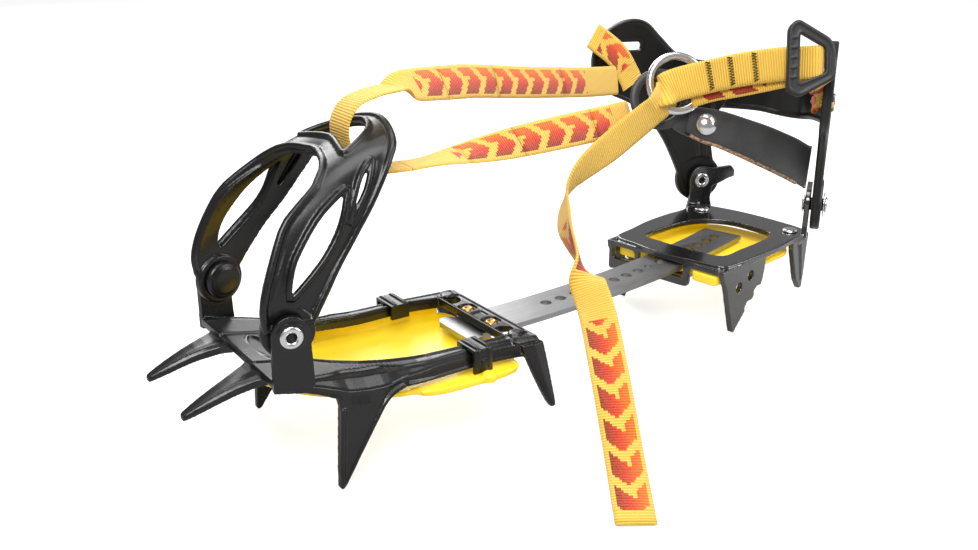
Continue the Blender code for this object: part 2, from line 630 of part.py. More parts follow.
def hood_point(x, y, depth):
    """Bend a point of the flat pattern onto the hood; depth is measured inwards."""
    side = -1.0 if x < 0 else 1.0
    t, v = 1 - abs(x) / 100, y / 20

    def surface(t, v):
        f, r = edge_point(HOOD_FRONT, t), edge_point(HOOD_REAR, t)
        ahead = edge_point(HOOD_FRONT, t + 0.01) + edge_point(HOOD_REAR, t + 0.01) - f - r
        out = (r - f).cross(ahead).normalized()
        if out.z + 0.5 * out.y < 0:
            out = -out
        return f + (r - f) * v + out * 10 * v * (1 - v) * min(1.0, t / 0.25), out

    p, out = surface(max(0.0, min(t, 0.989)), v)
    if t > 0.989:
        e, _ = surface(0.979, v)
        p = p + (p - e) * (t - 0.989) / 0.01
        p.y = 0.0 if t > 0.9995 else p.y
        out.y *= (1 - t) / 0.011
    p = p - out.normalized() * depth
    return Vector((p.x, side * p.y, p.z))


def mirrored(half):
    """A closed outline from its far half, which starts and ends on X = 0."""
    return half + [(-x, y) for x, y in half[-2:0:-1]]


def bend_pattern(name, outline, holes, thickness, cuts_x, cuts_y, bend, mat):
    """A flat pattern with holes, cut into strips fine enough to bend, then bent."""
    obj = plate(name, outline, -thickness, 0, mat, None, holes)
    bm = bmesh.new()
    bm.from_mesh(obj.data)
    for axis, values in ((0, cuts_x), (1, cuts_y)):
        for value in values:
            point, normal = Vector((0, 0, 0)), Vector((0, 0, 0))
            point[axis], normal[axis] = value * MM, 1
            bmesh.ops.bisect_plane(bm, geom=bm.verts[:] + bm.edges[:] + bm.faces[:], plane_co=point, plane_no=normal,
                                   dist=1e-6)
    bmesh.ops.triangulate(bm, faces=bm.faces)
    for vert in bm.verts:
        x, y, z = vert.co / MM
        vert.co = bend(x, y, -z) * MM
    bmesh.ops.recalc_face_normals(bm, faces=bm.faces)
    bm.to_mesh(obj.data)
    bm.free()
    return obj


def make_toe_basket(mat):
    """Flexible hood: a front arch and a rear loop, joined at the pivots and at the crown."""
    outline = mirrored(HOOD_EDGE)
    holes = [smooth_closed(mirrored(HOOD_STRAP), 2)]
    for side in (-1, 1):
        for hole in (HOOD_OVAL, HOOD_SLIT):
            holes.append(smooth_closed([(side * x, y) for x, y in hole], 2))
    basket = bend_pattern("toe_basket", outline, holes, HOOD_T, range(-96, 97, 12), (10,), hood_point, mat)
    discs = [turned("disc", [(TOE_DISC_R, -POST_T - 5.2), (TOE_DISC_R, -POST_T - 1.2)], mat, toe_post_matrix(s), 28)
             for s in (-1, 1)]
    union(basket, *discs)
    tools = [turned("bore", [(RIVET_R + 0.9, -12), (RIVET_R + 0.9, 0)], mat, toe_post_matrix(s), 24) for s in (-1, 1)]
    return cut(basket, *tools)


WING = [(-9, -4), (-7, -8.6), (0, -11.2), (8, -7.6), (11.6, 0), (15.4, 9), (23.2, 24), (33, 37), (44.5, 46), (59, 53), (66.5, 62),
        (67.2, 74), (62, 85), (50, 91.5), (38, 91), (28, 82), (18, 73), (6, 69), (-9, 66), (-14, 56), (-13, 44),
        (-7, 36), (-6, 24), (-8, 12), (-10, 4)]
WING_SLOTS = [[(40, 80), (57, 80), (57, 75.5), (40, 75.5)], [(41, 67), (60, 67), (60, 59.5), (41, 59.5)]]


def wing_matrix(side):
    """The wing's plane: local X forwards, local Y up, local Z outwards, on the outside of the post."""
    m = heel_post_matrix(side).copy()
    x = m.to_3x3() @ Vector((1, 0, 0))
    if x.x > 0:
        flip = Matrix(((-1, 0, 0, 0), (0, 1, 0, 0), (0, 0, 1, 0), (0, 0, 0, 1)))
        m = m @ flip
    return m


def make_heel_basket(mat):
    """Two flared wings that carry the webbing, joined behind the heel by one band."""
    t0, t1 = 1.2, 4.8
    basket = None
    pieces = []
    for side in (1, -1):
        slots = [rounded(s, 2) for s in WING_SLOTS]
        wing = plate("wing", smooth_closed(WING, 3), t0, t1, mat, wing_matrix(side), slots)
        pieces.append(wing)
        pieces.append(turned("disc", [(HEEL_DISC_R, t0 - 0.2), (HEEL_DISC_R, t1 + 1.2)], mat, wing_matrix(side), 30))
    basket = pieces.pop(0)
    basket.name = "heel_basket"
    a, b = HEEL_POST
    band = [(a + 7, b - 1.0, 108), (a + 17, b - 7, 106), (a + 27, b - 18, 104), (a + 32.5, 9, 102), (a + 33.6, 0, 101.4)]
    band += [(x, -y, z) for x, y, z in band[3::-1]]
    widths = [(0, 0, 12), (0.5, 0, 11), (1, 0, 10.2), (1, 0, 10), (1, 0, 10)]
    widths += widths[3::-1]
    pieces.append(ribbon("band", band, widths, 3.4, mat, HEEL, steps=4))
    union(basket, *pieces)
    tools = [turned("bore", [(RIVET_R + 0.9, -4), (RIVET_R + 0.9, 9)], mat, heel_post_matrix(s), 24) for s in (-1, 1)]
    return cut(basket, *tools)


# ------------------------------------------------------------------ rings, buckle and ankle band
RING_PLANE = face_matrix((228, -15, 108), (-0.42, -0.83, 0.36))    # origin on the domed rivet
SLIDER_PLANE = face_matrix((250.6, -53.6, 142.2), (-0.6, -0.75, 0.3))


def make_ring_plate(mat):
    """A moulded ring with a lug that is riveted to the ankle band."""
    place = RING_PLANE
    lug = [(-17, 1.6), (-8, -5.1), (0, -5.6), (5.2, -2), (4.6, 4), (0, 6), (-6, 7.4), (-13, 12)]
    ring = plate("ring_plate", circle(-21.3, 13.2, 14.6, 32), -3.4, -1.1, mat, place)
    union(ring, plate("lug", smooth_closed(lug, 3), -3.2, -1.3, mat, place))
    return cut(ring, plate("eye", circle(-21.3, 13.2, 10.2, 28), -6, 3, mat, place),
               turned("bore", [(2.2 + GAP, -6), (2.2 + GAP, 2)], mat, place, 20))


def make_silver_ring(mat):
    """A plain round-wire ring in front of the moulded one."""
    centre = RING_PLANE @ Matrix.Translation((-14.4, 19.4, 3.4))
    profile = [(13.0 + 1.9 * math.cos(q), 1.9 * math.sin(q)) for q in (2 * math.pi * k / 8 for k in range(8))]
    return turned("silver_ring", profile, mat, centre, 36, closed=True)


BAND_PATH = [(-8.5, 2.8, 0), (0, 0, 0), (9, -2.6, -0.6), (30, -9, -8.5), (50, -14.6, -20.5), (66, -19, -33.5)]
BAND_WIDTH = [(1, 7.2, 0), (1.2, 8.2, 0), (1.6, 8.6, 0), (2, 9.8, 0), (2.2, 10.6, 0), (2.2, 11.0, 0)]


def make_ankle_band(mat):
    band = ribbon("ankle_band", BAND_PATH, BAND_WIDTH, 1.6, mat, RING_PLANE, steps=4)
    return cut(band, turned("bore", [(2.2 + GAP, -4), (2.2 + GAP, 4)], mat, RING_PLANE, 20))


def make_band_rivet(mat):
    profile = [(0.3, 3.9), (2.2, 3.6), (4.2, 2.6), (5.3, 1.1), (5.3, 0.8 + GAP), (2.2, 0.8 + GAP), (2.2, -3.3 - GAP),
               (4.0, -3.3 - GAP), (4.0, -4.6), (0.3, -4.6)]
    return turned("band_rivet", profile, mat, RING_PLANE, 20)


def make_slider(mat):
    """The slider buckle: a tapered frame with one wide opening."""
    outline = rounded([(-10.6, -15.0), (-10.6, 13.6), (-6.6, 17.4), (8.4, 8.6), (10.6, 4.0), (10.6, -9.2), (-4.6, -17.6)], 2.4)
    opening = rounded([(-5.2, -11.2), (-5.2, 11.0), (6.0, 4.6), (6.4, -6.4)], 1.4)
    return plate("slider_buckle", outline, -1.8, 1.8, mat, SLIDER_PLANE, [opening])


def make_wing_clip(mat):
    """A small pressed clip over the near wing's edge."""
    place = wing_matrix(-1)
    return plate("wing_clip", rounded([(-6.6, 50), (-0.6, 50), (-0.6, 59), (-6.6, 59)], 1.2), 5.1, 6.1, mat, place)


# ------------------------------------------------------------------ webbing
def webbing(name, path, widths, mat, steps=5, thickness=WEB_T):
    return ribbon(name, path, widths, thickness, mat, None, steps, WEB)


TOE_FOLD = [(70, 4.4, 140.2), (57, 1, 139.8), (47.5, 0, 137), (42.8, 0, 130), (43.6, 0, 121), (48.5, 0, 113.8), (56, 0, 110.2),
            (70, 0, 109.2)]
UPPER_RUN = [(71.8, 4.9, 140.2), (79, 8, 139.4), (99, 15, 137.2), (120, 23, 134.6), (157, 38, 128), (193.6, 51, 122.2),
             (218, 60, 118.4), (238, 66.3, 116.0)]
LOWER_RUN = [(70.8, 0, 109.2), (83, 0, 109.2), (114, 0, 110.4), (141, 0, 111.6), (171, 1, 112.4), (196, 3.2, 112.8)]
TAIL = [(203.5, -5.2, 118.0), (196.7, -5, 114), (178, -6, 104.2), (157.5, -7, 94.5), (148, -8, 84.2), (140.2, -18, 75.7),
        (135, -34, 65.1), (131, -46, 55.9), (126, -58, 47.8), (112, -83, 30.4), (101, -103, 13.6), (88, -124, 1.6)]
SEWN = [(213, -6.5, 127.5), (223.8, -17.0, 131.5), (233, -30.6, 135.9), (239.6, -42.8, 139.6)]
STRAP_END = [(256.3, 69.6, 116.5), (249, 72.2, 128.0), (236, 77.4, 139.0)]


def make_webbing(mat):
    side = (0, 1, 0)
    webbing("strap_toe_fold", TOE_FOLD, [(0.2, 1, 0)] + [side] * 7, mat, 4)
    webbing("strap_upper", UPPER_RUN, [(0.2, 1, 0.1), (-0.1, 0.7, 0.7), (0.1, 0.6, 0.8), (0.1, 0.5, 0.85), (0.1, 0.45, 0.9),
                                       (0.15, 0.4, 0.9), (0.2, 0.35, 0.9), (0.3, 0.3, 0.9)], mat, 3)
    webbing("strap_lower", LOWER_RUN, [side, side, (0, 0.8, 0.5), (0, 0.6, 0.75), (-0.1, 0.45, 0.85), (-0.1, 0.4, 0.9)], mat, 3)
    webbing("strap_tail", TAIL, [(0.7, 0, -0.6), (0.75, 0, -0.6), (0.8, 0, -0.55), (0.75, 0.3, -0.5), (0.5, 0.7, -0.4),
                                 (0.3, 0.9, -0.2), (0.5, 0.8, -0.1), (0.7, -0.1, 0.5), (0.85, -0.4, 0.3), (0.9, -0.4, 0.1),
                                 (0.9, -0.4, 0), (0.9, -0.4, 0)], mat, 4)
    up = (0.16, 0.32, 0.93)
    webbing("sewn_webbing", SEWN, [up] * 4, mat, 4, 2.8)
    webbing("strap_end", STRAP_END, [(0.75, 0.1, 0.6)] * 3, mat, 3)


# ------------------------------------------------------------------ boot-length lock
def make_lock(spring_mat, peg_mat):
    """A spring leaf under the bar carries a peg that drops into one of the bar's holes."""
    leaf = rounded([(4.0, -7.5), (4.0, 7.5), (40, 7.5), (40, -7.5)], 3)
    hole = bar_hole_near_front()
    plate("lock_spring", leaf, 22.4, 23.6, spring_mat, HEEL, [circle(hole.x, hole.y, 1.9, 16), circle(34, 0, 1.9, 16)])
    peg = [(1.6, 21.2), (1.6, 23.6 + GAP), (3.0, 23.6 + GAP), (3.0, 25.2), (2.0, 25.6), (1.5, 27.0), (1.5, 30.3), (1.0, 30.9)]
    turned("lock_peg", peg, peg_mat, HEEL @ Matrix.Translation((hole.x, hole.y, 0)), 20)
    rivet = [(3.0, 20.9), (3.0, 22.4 - GAP), (1.6, 22.4 - GAP), (1.6, 27.4 - GAP)]
    turned("lock_rivet", rivet, peg_mat, HEEL @ Matrix.Translation((34, 0, 0)), 20)


def bar_hole_near_front():
    """Heel coordinates of the bar hole just behind the mouth."""
    inverse = HEEL.inverted()
    best = None
    for k in range(16):
        q = inverse @ bar_point(141.6 - BAR_BEND_X + BAR_PITCH * k)
        if q.x > 2 and (best is None or q.x < best.x):
            best = q
    return best


# ------------------------------------------------------------------ main
def build():
    clear_scene()
    black = material("coated_steel", STEEL_BLACK, 0.32, 0.6)
    heel_grey = material("heel_steel", HEEL_GREY, 0.28, 0.8)
    bare = material("bare_steel", BARE_STEEL, 0.35, 0.9)
    silver = material("bright_steel", SILVER, 0.2, 1.0)
    brass = material("brass", BRASS, 0.35, 1.0)
    plastic = material("basket_plastic", PLASTIC_BLACK, 0.3, 0.0)
    grey = material("buckle_plastic", PLASTIC_GREY, 0.5, 0.0)
    yellow = material("snow_plate_rubber", YELLOW_RUBBER, 0.4, 0.0)
    webbing_mat = material("webbing", YELLOW_WEB, 0.75, 0.0)
    leather = material("ankle_band_fabric", BAND_GREY, 0.85, 0.0)

    make_front_frame(black)
    make_heel_frame(heel_grey)
    make_link_bar(bare)
    make_front_plate(yellow)
    make_heel_plate(yellow)
    frame_clip("front_clip_near", 77.5, -1, 27.5, 36.4, plastic)
    frame_clip("front_clip_far", 74.0, 1, 23.4, 33.4, plastic)
    make_toe_basket(plastic)
    make_heel_basket(plastic)
    for side, word in ((-1, "near"), (1, "far")):
        place = toe_post_matrix(side)
        tubular_rivet("toe_rivet_" + word, place, -POST_T - 6.9, GAP, silver)
        washer("toe_washer_" + word, place, RIVET_R + GAP, 6.4, -POST_T - 6.6, -POST_T - 6.0, silver)
        place = heel_post_matrix(side)
        tubular_rivet("heel_rivet_" + word, place, -POST_T - GAP, 7.6, silver)
        washer("heel_washer_" + word, place, RIVET_R + GAP, 6.6, 6.6, 7.3, silver)
        domed_rivet("heel_corner_rivet_" + word, HEEL @ Matrix.Translation((71.5, side * 28.5, FRAME_TOP + GAP)),
                    4.2, 1.6, 2.2, 4.2, silver)
    make_ring_plate(grey)
    make_silver_ring(silver)
    make_ankle_band(leather)
    make_band_rivet(silver)
    make_slider(grey)
    make_wing_clip(silver)
    make_webbing(webbing_mat)
    make_lock(bare, brass)
    shift = Matrix.Translation(-Vector(ORIGIN) * MM)
    for obj in bpy.data.objects:
        obj.data.transform(shift)


build()
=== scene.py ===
"""Looks of the strap-on crampon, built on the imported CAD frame.

Layout numbers are millimetres measured from the ground midway between the two toe posts;
at() and MM turn them into the row frame. Soft pieces are modelled directly, in place.
"""

import math

import bmesh
import bpy
from mathutils import Matrix, Vector


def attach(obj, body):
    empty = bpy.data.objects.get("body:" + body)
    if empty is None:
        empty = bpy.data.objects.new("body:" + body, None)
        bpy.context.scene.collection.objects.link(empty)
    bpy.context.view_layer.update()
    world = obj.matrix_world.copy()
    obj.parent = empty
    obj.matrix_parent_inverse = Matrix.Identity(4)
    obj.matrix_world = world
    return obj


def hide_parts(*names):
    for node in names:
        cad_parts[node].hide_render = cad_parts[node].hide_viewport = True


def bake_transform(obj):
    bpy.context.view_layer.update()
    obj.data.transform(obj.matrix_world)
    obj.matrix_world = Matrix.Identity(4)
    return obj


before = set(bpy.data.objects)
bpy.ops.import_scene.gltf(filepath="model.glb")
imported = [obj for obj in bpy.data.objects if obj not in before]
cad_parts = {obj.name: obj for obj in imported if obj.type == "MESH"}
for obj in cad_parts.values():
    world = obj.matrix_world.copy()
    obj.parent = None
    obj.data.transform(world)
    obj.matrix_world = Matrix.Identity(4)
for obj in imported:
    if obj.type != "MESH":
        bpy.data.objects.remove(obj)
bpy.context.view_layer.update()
MM = 0.001
CAD_WELD = 5e-6                     # metres: joins the CAD meshes' split corners
ORIGIN = Vector((104.0, 0.0, 37.7))
WORDS = {-1: "near", 1: "far"}      # side of the object: the loose strap end hangs on the near side


# ---------------- shared layout
def at(p):
    return (Vector(p) - ORIGIN) * MM


def face_matrix(origin, normal, up=(0, 0, 1)):
    z = Vector(normal).normalized()
    x = Vector(up).cross(z).normalized()
    m = Matrix((x, z.cross(x), z)).transposed().to_4x4()
    m.translation = Vector(origin)
    return m


HEEL = Matrix.Translation((231.2, 6.1, 0)) @ Matrix.Rotation(math.radians(9.44), 4, "Z")
HEEL_POST, HEEL_RIVET_Z = (77.3, 35.5), 54.0
POST_T = 2.8
RING = face_matrix((228, -15, 108), (-0.42, -0.83, 0.36))
SLIDER = face_matrix((250.6, -53.6, 142.2), (-0.6, -0.75, 0.3))


def toe_post(side):
    a = math.radians(12)
    return face_matrix((0, side * 38.0, 66.5), (-math.sin(a), side * math.cos(a), 0))


def heel_post(side):
    a = math.radians(32 if side > 0 else 26)
    return HEEL @ face_matrix((HEEL_POST[0], side * HEEL_POST[1], HEEL_RIVET_Z),
                              (math.sin(a), side * math.cos(a), 0))


def wing(side):
    m = heel_post(side)
    if (m.to_3x3() @ Vector((1, 0, 0))).x > 0:
        m = m @ Matrix(((-1, 0, 0, 0), (0, 1, 0, 0), (0, 0, 1, 0), (0, 0, 0, 1)))
    return m


def table(x, points):
    if x <= points[0][0]:
        return points[0][1]
    for (x0, v0), (x1, v1) in zip(points, points[1:]):
        if x <= x1:
            return v0 + (v1 - v0) * (x - x0) / (x1 - x0)
    return points[-1][1]


def front_top(x):
    return 38.0 + 10.5 * max(0.0, (60 - x) / 60) ** 1.3


def catmull(p, t):
    return 0.5 * ((2 * p[1]) + (p[2] - p[0]) * t + (2 * p[0] - 5 * p[1] + 4 * p[2] - p[3]) * t * t
                  + (3 * p[1] - p[0] - 3 * p[2] + p[3]) * t ** 3)


def smooth_path(points, steps=6):
    pts = [Vector(p) for p in points]
    pts = [pts[0] * 2 - pts[1]] + pts + [pts[-1] * 2 - pts[-2]]
    out = []
    for i in range(1, len(pts) - 2):
        out += [catmull(pts[i - 1:i + 3], s / steps) for s in range(steps)]
    return out + [pts[-2]]


def smooth_closed(points, steps=6):
    n, out = len(points), []
    for i in range(n):
        p = [Vector(points[(i + k) % n]) for k in (-1, 0, 1, 2)]
        out += [tuple(catmull(p, s / steps)) for s in range(steps)]
    return out


def rounded(points, radius, steps=5):
    out, n = [], len(points)
    for i, (x, y) in enumerate(points):
        p, a, b = Vector((x, y)), Vector(points[i - 1]), Vector(points[(i + 1) % n])
        u, v = (a - p), (b - p)
        r = min(radius, u.length * 0.45, v.length * 0.45)
        s, e = p + u.normalized() * r, p + v.normalized() * r
        for k in range(steps + 1):
            t = k / steps
            out.append(tuple(s * (1 - t) ** 2 + p * 2 * t * (1 - t) + e * t * t))
    return out


def oval(cx, cy, rx, ry, n):
    """n points round an ellipse, starting at +X."""
    turns = [2 * math.pi * k / n for k in range(n)]
    return [(cx + rx * math.cos(a), cy + ry * math.sin(a)) for a in turns]


def between(first, last, steps):
    """Points on the straight line from first to last, both ends included."""
    a, b = Vector(first), Vector(last)
    return [a.lerp(b, k / steps) for k in range(steps + 1)]


def level(outline, z):
    """A flat outline lifted to height z."""
    return [(x, y, z) for x, y in outline]


# ---------------- materials
class Nodes:
    """A few lines to write shader nodes with."""

    def __init__(self, name):
        self.mat = bpy.data.materials.new(name)
        self.mat.use_nodes = True
        self.tree = self.mat.node_tree
        self.bsdf = self.tree.nodes["Principled BSDF"]

    def feed(self, node, inputs):
        """Give each input a value, or a link where the value is another node's output."""
        for k, v in inputs.items():
            if isinstance(v, bpy.types.NodeSocket):
                self.tree.links.new(v, node.inputs[k])
            else:
                node.inputs[k].default_value = v

    def add(self, kind, inputs=None, **props):
        node = self.tree.nodes.new(kind)
        for k, v in props.items():
            setattr(node, k, v)
        self.feed(node, inputs or {})
        return node

    def math(self, op, a, b=0.0):
        return self.add("ShaderNodeMath", {0: a, 1: b}, operation=op).outputs[0]

    def mix(self, fac, a, b):
        return self.add("ShaderNodeMix", {0: fac, 6: a, 7: b}, data_type="RGBA").outputs[2]

    def noise(self, scale, detail=3.0, vector=None, rough=0.5):
        inputs = {"Scale": scale, "Detail": detail, "Roughness": rough}
        if vector is None:
            vector = self.add("ShaderNodeTexCoord").outputs["Object"]
        inputs["Vector"] = vector
        return self.add("ShaderNodeTexNoise", inputs).outputs[0]

    def remap(self, value, a, b, c, d):
        return self.add("ShaderNodeMapRange", {0: value, 1: a, 2: b, 3: c, 4: d}).outputs[0]

    def bump(self, height, distance, strength=1.0):
        inputs = {"Height": height, "Distance": distance, "Strength": strength}
        return self.add("ShaderNodeBump", inputs).outputs[0]

    def set(self, **values):
        self.feed(self.bsdf, {k.replace("_", " "): v for k, v in values.items()})
        return self.mat


def darker(colour, *shares):
    """The colour with each channel scaled by its share; one share scales them all."""
    shares = shares * 3 if len(shares) == 1 else shares
    return [c * k for c, k in zip(colour[:3], shares)] + [1]


def coated(name, colour, rough, peel=0.00003, coat=0.0, edge=0.0, scuff=0.12, coat_ior=1.5):
    """Paint or moulded plastic: orange peel, faint dust, and edges painted paler as a painted highlight."""
    n = Nodes(name)
    fine = n.noise(900, 2)
    broad = n.noise(38, 4)
    rub = n.noise(210, 5, rough=0.7)
    rubbed = [min(1, c * 2.4 + 0.02) for c in colour[:3]] + [1]
    base = n.mix(n.remap(rub, 0.56, 0.8, 0, scuff), colour, rubbed)
    # painted highlight: where pointiness marks an edge, the colour is painted a paler grey in patches; edge
    # sets how strong
    if edge:
        point = n.add("ShaderNodeNewGeometry").outputs["Pointiness"]
        painted_edge_highlight = n.math("MULTIPLY", n.remap(point, 0.53, 0.62, 0, edge), n.remap(broad, 0.35, 0.7, 0.3, 1))
        base = n.mix(painted_edge_highlight, base, (0.16, 0.16, 0.165, 1))
    uneven = n.remap(broad, 0.3, 0.7, rough - 0.05, rough + 0.07)
    roughness = n.math("ADD", uneven, n.remap(rub, 0.5, 0.8, 0, 0.12))
    return n.set(Base_Color=base, Roughness=roughness, Normal=n.bump(fine, peel, 0.6),
                 Coat_Weight=coat, Coat_Roughness=0.12, Coat_IOR=coat_ior, Specular_IOR_Level=0.5)


def steel(name, colour, rough, along=(1, 0, 0), grain=0.00002):
    """Bare metal with grain that runs along one direction."""
    n = Nodes(name)
    coord = n.add("ShaderNodeTexCoord").outputs["Object"]
    stretch = [14.0 if abs(a) > 0.5 else 900.0 for a in along]
    mapped = n.add("ShaderNodeMapping", {"Vector": coord, "Scale": stretch}).outputs[0]
    lines = n.noise(1.0, 4, mapped, 0.6)
    broad = n.noise(60, 4, coord)
    base = n.mix(n.remap(lines, 0.35, 0.65, 0, 0.5), colour, darker(colour, 0.72))
    base = n.mix(n.remap(broad, 0.55, 0.75, 0, 0.25), base, darker(colour, 0.6))
    grainy = n.remap(lines, 0.3, 0.7, rough - 0.06, rough + 0.08)
    roughness = n.math("ADD", grainy, n.remap(broad, 0.4, 0.7, 0, 0.06))
    return n.set(Base_Color=base, Metallic=1.0, Roughness=roughness, Normal=n.bump(lines, grain, 0.5))


def bright(name, colour=(0.8, 0.8, 0.81, 1), rough=0.16):
    """Polished metal with faint blotches."""
    n = Nodes(name)
    fine, broad = n.noise(700, 3), n.noise(120, 4)
    base = n.mix(n.remap(broad, 0.5, 0.75, 0, 0.35), colour, darker(colour, 0.62))
    return n.set(Base_Color=base, Metallic=1.0, Roughness=n.remap(broad, 0.3, 0.7, rough, rough + 0.12),
                 Normal=n.bump(fine, 0.00001, 0.4))


def rubber(name, colour):
    """Moulded rubber with faint flow marks; a weak glow stands in for light that passes through it."""
    n = Nodes(name)
    flow, fine = n.noise(22, 5, rough=0.65), n.noise(600, 2)
    deep = darker(colour, 0.96, 0.8, 0.3)
    pale = [min(1, colour[0] * 1.02), min(1, colour[1] * 1.12), colour[2] + 0.06, 1]
    base = n.mix(n.remap(flow, 0.35, 0.65, 0, 1), colour, pale)
    base = n.mix(n.remap(n.noise(9, 3), 0.5, 0.72, 0, 0.45), base, deep)
    return n.set(Base_Color=base, Roughness=n.remap(flow, 0.3, 0.7, 0.3, 0.45), Subsurface_Weight=0.2,
                 Subsurface_Radius=(0.004, 0.002, 0.0006), Normal=n.bump(fine, 0.00002, 0.5), Coat_Weight=0.1,
                 Emission_Color=(1.0, 0.62, 0.0, 1), Emission_Strength=0.22)


RIB, THREAD_PITCH = 1.12, 0.55      # webbing ribs and cross threads, mm
REPEAT, STEP_V = 14.0, 0.8          # length of one chevron and the steps across it, mm


def web_cloth(name, colour, printed):
    """Ribbed webbing; printed adds a stepped chevron pattern that fades from dark red to orange."""
    n = Nodes(name)
    uv = n.add("ShaderNodeSeparateXYZ", {0: n.add("ShaderNodeUVMap", uv_map="UVMap").outputs[0]})
    u = n.math("MULTIPLY", uv.outputs[0], 100.0)
    v = n.math("MULTIPLY", uv.outputs[1], 100.0)
    rib = n.math("SINE", n.math("MULTIPLY", u, 2 * math.pi / RIB))
    thread = n.math("SINE", n.math("MULTIPLY", v, 2 * math.pi / THREAD_PITCH))
    fuzz = n.noise(1500, 3)
    broad = n.noise(45, 4)
    # painted shade: the colour is darkened in the grooves between the ribs, and a little between the cross
    # threads
    painted_groove_shade = n.remap(rib, -1, 0.0, 0.75, 0)
    base = n.mix(painted_groove_shade, colour, darker(colour, 0.74, 0.52, 0.35))
    base = n.mix(n.remap(thread, -1, 1, 0.10, 0), base, darker(colour, 0.6))
    if printed:
        step_u = n.math("MULTIPLY", n.math("ROUND", n.math("DIVIDE", u, RIB)), RIB)
        step_v = n.math("MULTIPLY", n.math("ROUND", n.math("DIVIDE", v, STEP_V)), STEP_V)
        slope = n.math("MULTIPLY", n.math("ABSOLUTE", n.math("ADD", step_v, 0.4)), 0.9)
        slanted = n.math("ADD", n.math("ADD", step_u, slope), 1000.0)
        bar = n.math("LESS_THAN", n.math("FRACT", n.math("DIVIDE", slanted, REPEAT)), 0.68)
        straight = n.math("FRACT", n.math("DIVIDE", n.math("ADD", step_u, 1003.0), REPEAT))
        notch = n.math("GREATER_THAN", straight, 0.30)
        core = n.math("GREATER_THAN", n.math("ABSOLUTE", n.math("SUBTRACT", step_v, 1.2)), 1.1)
        bar = n.math("MULTIPLY", bar, n.math("MAXIMUM", notch, core))
        inside = n.math("LESS_THAN", n.math("ABSOLUTE", step_v), 5.7)
        mask = n.math("MULTIPLY", bar, inside)
        fade = n.add("ShaderNodeMapRange", {0: step_v, 1: -5.0, 2: 5.0, 3: 0.0, 4: 1.0})
        ramp = n.add("ShaderNodeValToRGB", {0: fade.outputs[0]})
        ramp.color_ramp.elements[0].color = (0.26, 0.005, 0.008, 1)
        ramp.color_ramp.elements[1].color = (1.0, 0.19, 0.012, 1)
        middle = ramp.color_ramp.elements.new(0.45)
        middle.color = (0.74, 0.016, 0.01, 1)
        speck = n.remap(fuzz, 0.4, 0.62, 0.92, 1.0)
        # painted shade: the print is darkened in the rib grooves too
        ink = n.mix(painted_groove_shade, ramp.outputs[0], (0.42, 0.05, 0.01, 1))
        base = n.mix(n.math("MULTIPLY", mask, speck), base, ink)
    base = n.mix(n.remap(broad, 0.45, 0.7, 0, 0.10), base, darker(colour, 0.6, 0.5, 0.5))
    height = n.math("ADD", n.math("MULTIPLY", rib, 0.5), n.math("MULTIPLY", thread, 0.12))
    height = n.math("ADD", height, n.math("MULTIPLY", fuzz, 0.5))
    return n.set(Base_Color=base, Roughness=n.remap(fuzz, 0.3, 0.7, 0.68, 0.85), Specular_IOR_Level=0.35,
                 Normal=n.bump(height, 0.0003, 1.0), Sheen_Weight=0.25, Sheen_Roughness=0.5)


def band_cloth(name):
    """Rubberised fabric: fine dark cloth with a soft sheen."""
    n = Nodes(name)
    coord = n.add("ShaderNodeTexCoord").outputs["Object"]
    cloth, blotch = n.noise(1300, 4, coord, 0.7), n.noise(55, 5, coord, 0.6)
    base = n.mix(n.remap(blotch, 0.4, 0.7, 0, 0.6), (0.035, 0.035, 0.036, 1), (0.062, 0.061, 0.06, 1))
    base = n.mix(n.remap(cloth, 0.55, 0.75, 0, 0.5), base, (0.09, 0.088, 0.085, 1))
    return n.set(Base_Color=base, Roughness=n.remap(blotch, 0.3, 0.7, 0.62, 0.8), Specular_IOR_Level=0.35,
                 Normal=n.bump(cloth, 0.00012, 0.8), Sheen_Weight=0.15)


def raw_edge(name):
    """Torn brown and pale fibres where the band was cut."""
    n = Nodes(name)
    coord = n.add("ShaderNodeTexCoord").outputs["Object"]
    a, b = n.noise(900, 4, coord, 0.8), n.noise(400, 3, coord)
    base = n.mix(n.remap(a, 0.4, 0.6, 0, 1), (0.16, 0.075, 0.035, 1), (0.55, 0.36, 0.24, 1))
    base = n.mix(n.remap(b, 0.55, 0.65, 0, 0.8), base, (0.05, 0.03, 0.02, 1))
    return n.set(Base_Color=base, Roughness=0.95, Normal=n.bump(a, 0.0003, 1.0))


# the sixth value given to coated() is the strength of its painted edge highlight
BLACK_STEEL = coated("coated_steel_look", (0.004, 0.004, 0.0042, 1), 0.27, 0.00003, 0.1, 0.06, 0.05)
HEEL_STEEL = coated("heel_steel_look", (0.008, 0.008, 0.0085, 1), 0.2, 0.00002, 0.9, 0.08, 0.05, 1.85)
BAR_STEEL = steel("bar_steel_look", (0.40, 0.40, 0.405, 1), 0.34)
PLASTIC = coated("basket_plastic_look", (0.005, 0.005, 0.0052, 1), 0.3, 0.00003, 0.0, 0.0, 0.04)
GREY_PLASTIC = coated("buckle_plastic_look", (0.016, 0.016, 0.018, 1), 0.45, 0.00009, 0.0, 0.0, 0.1)
RING_GREY = coated("ring_plastic_look", (0.035, 0.036, 0.038, 1), 0.4, 0.00006, 0.0, 0.2, 0.12)
CHROME = bright("bright_steel_look")
CLIP_STEEL = bright("clip_steel_look", (0.36, 0.36, 0.37, 1), 0.35)
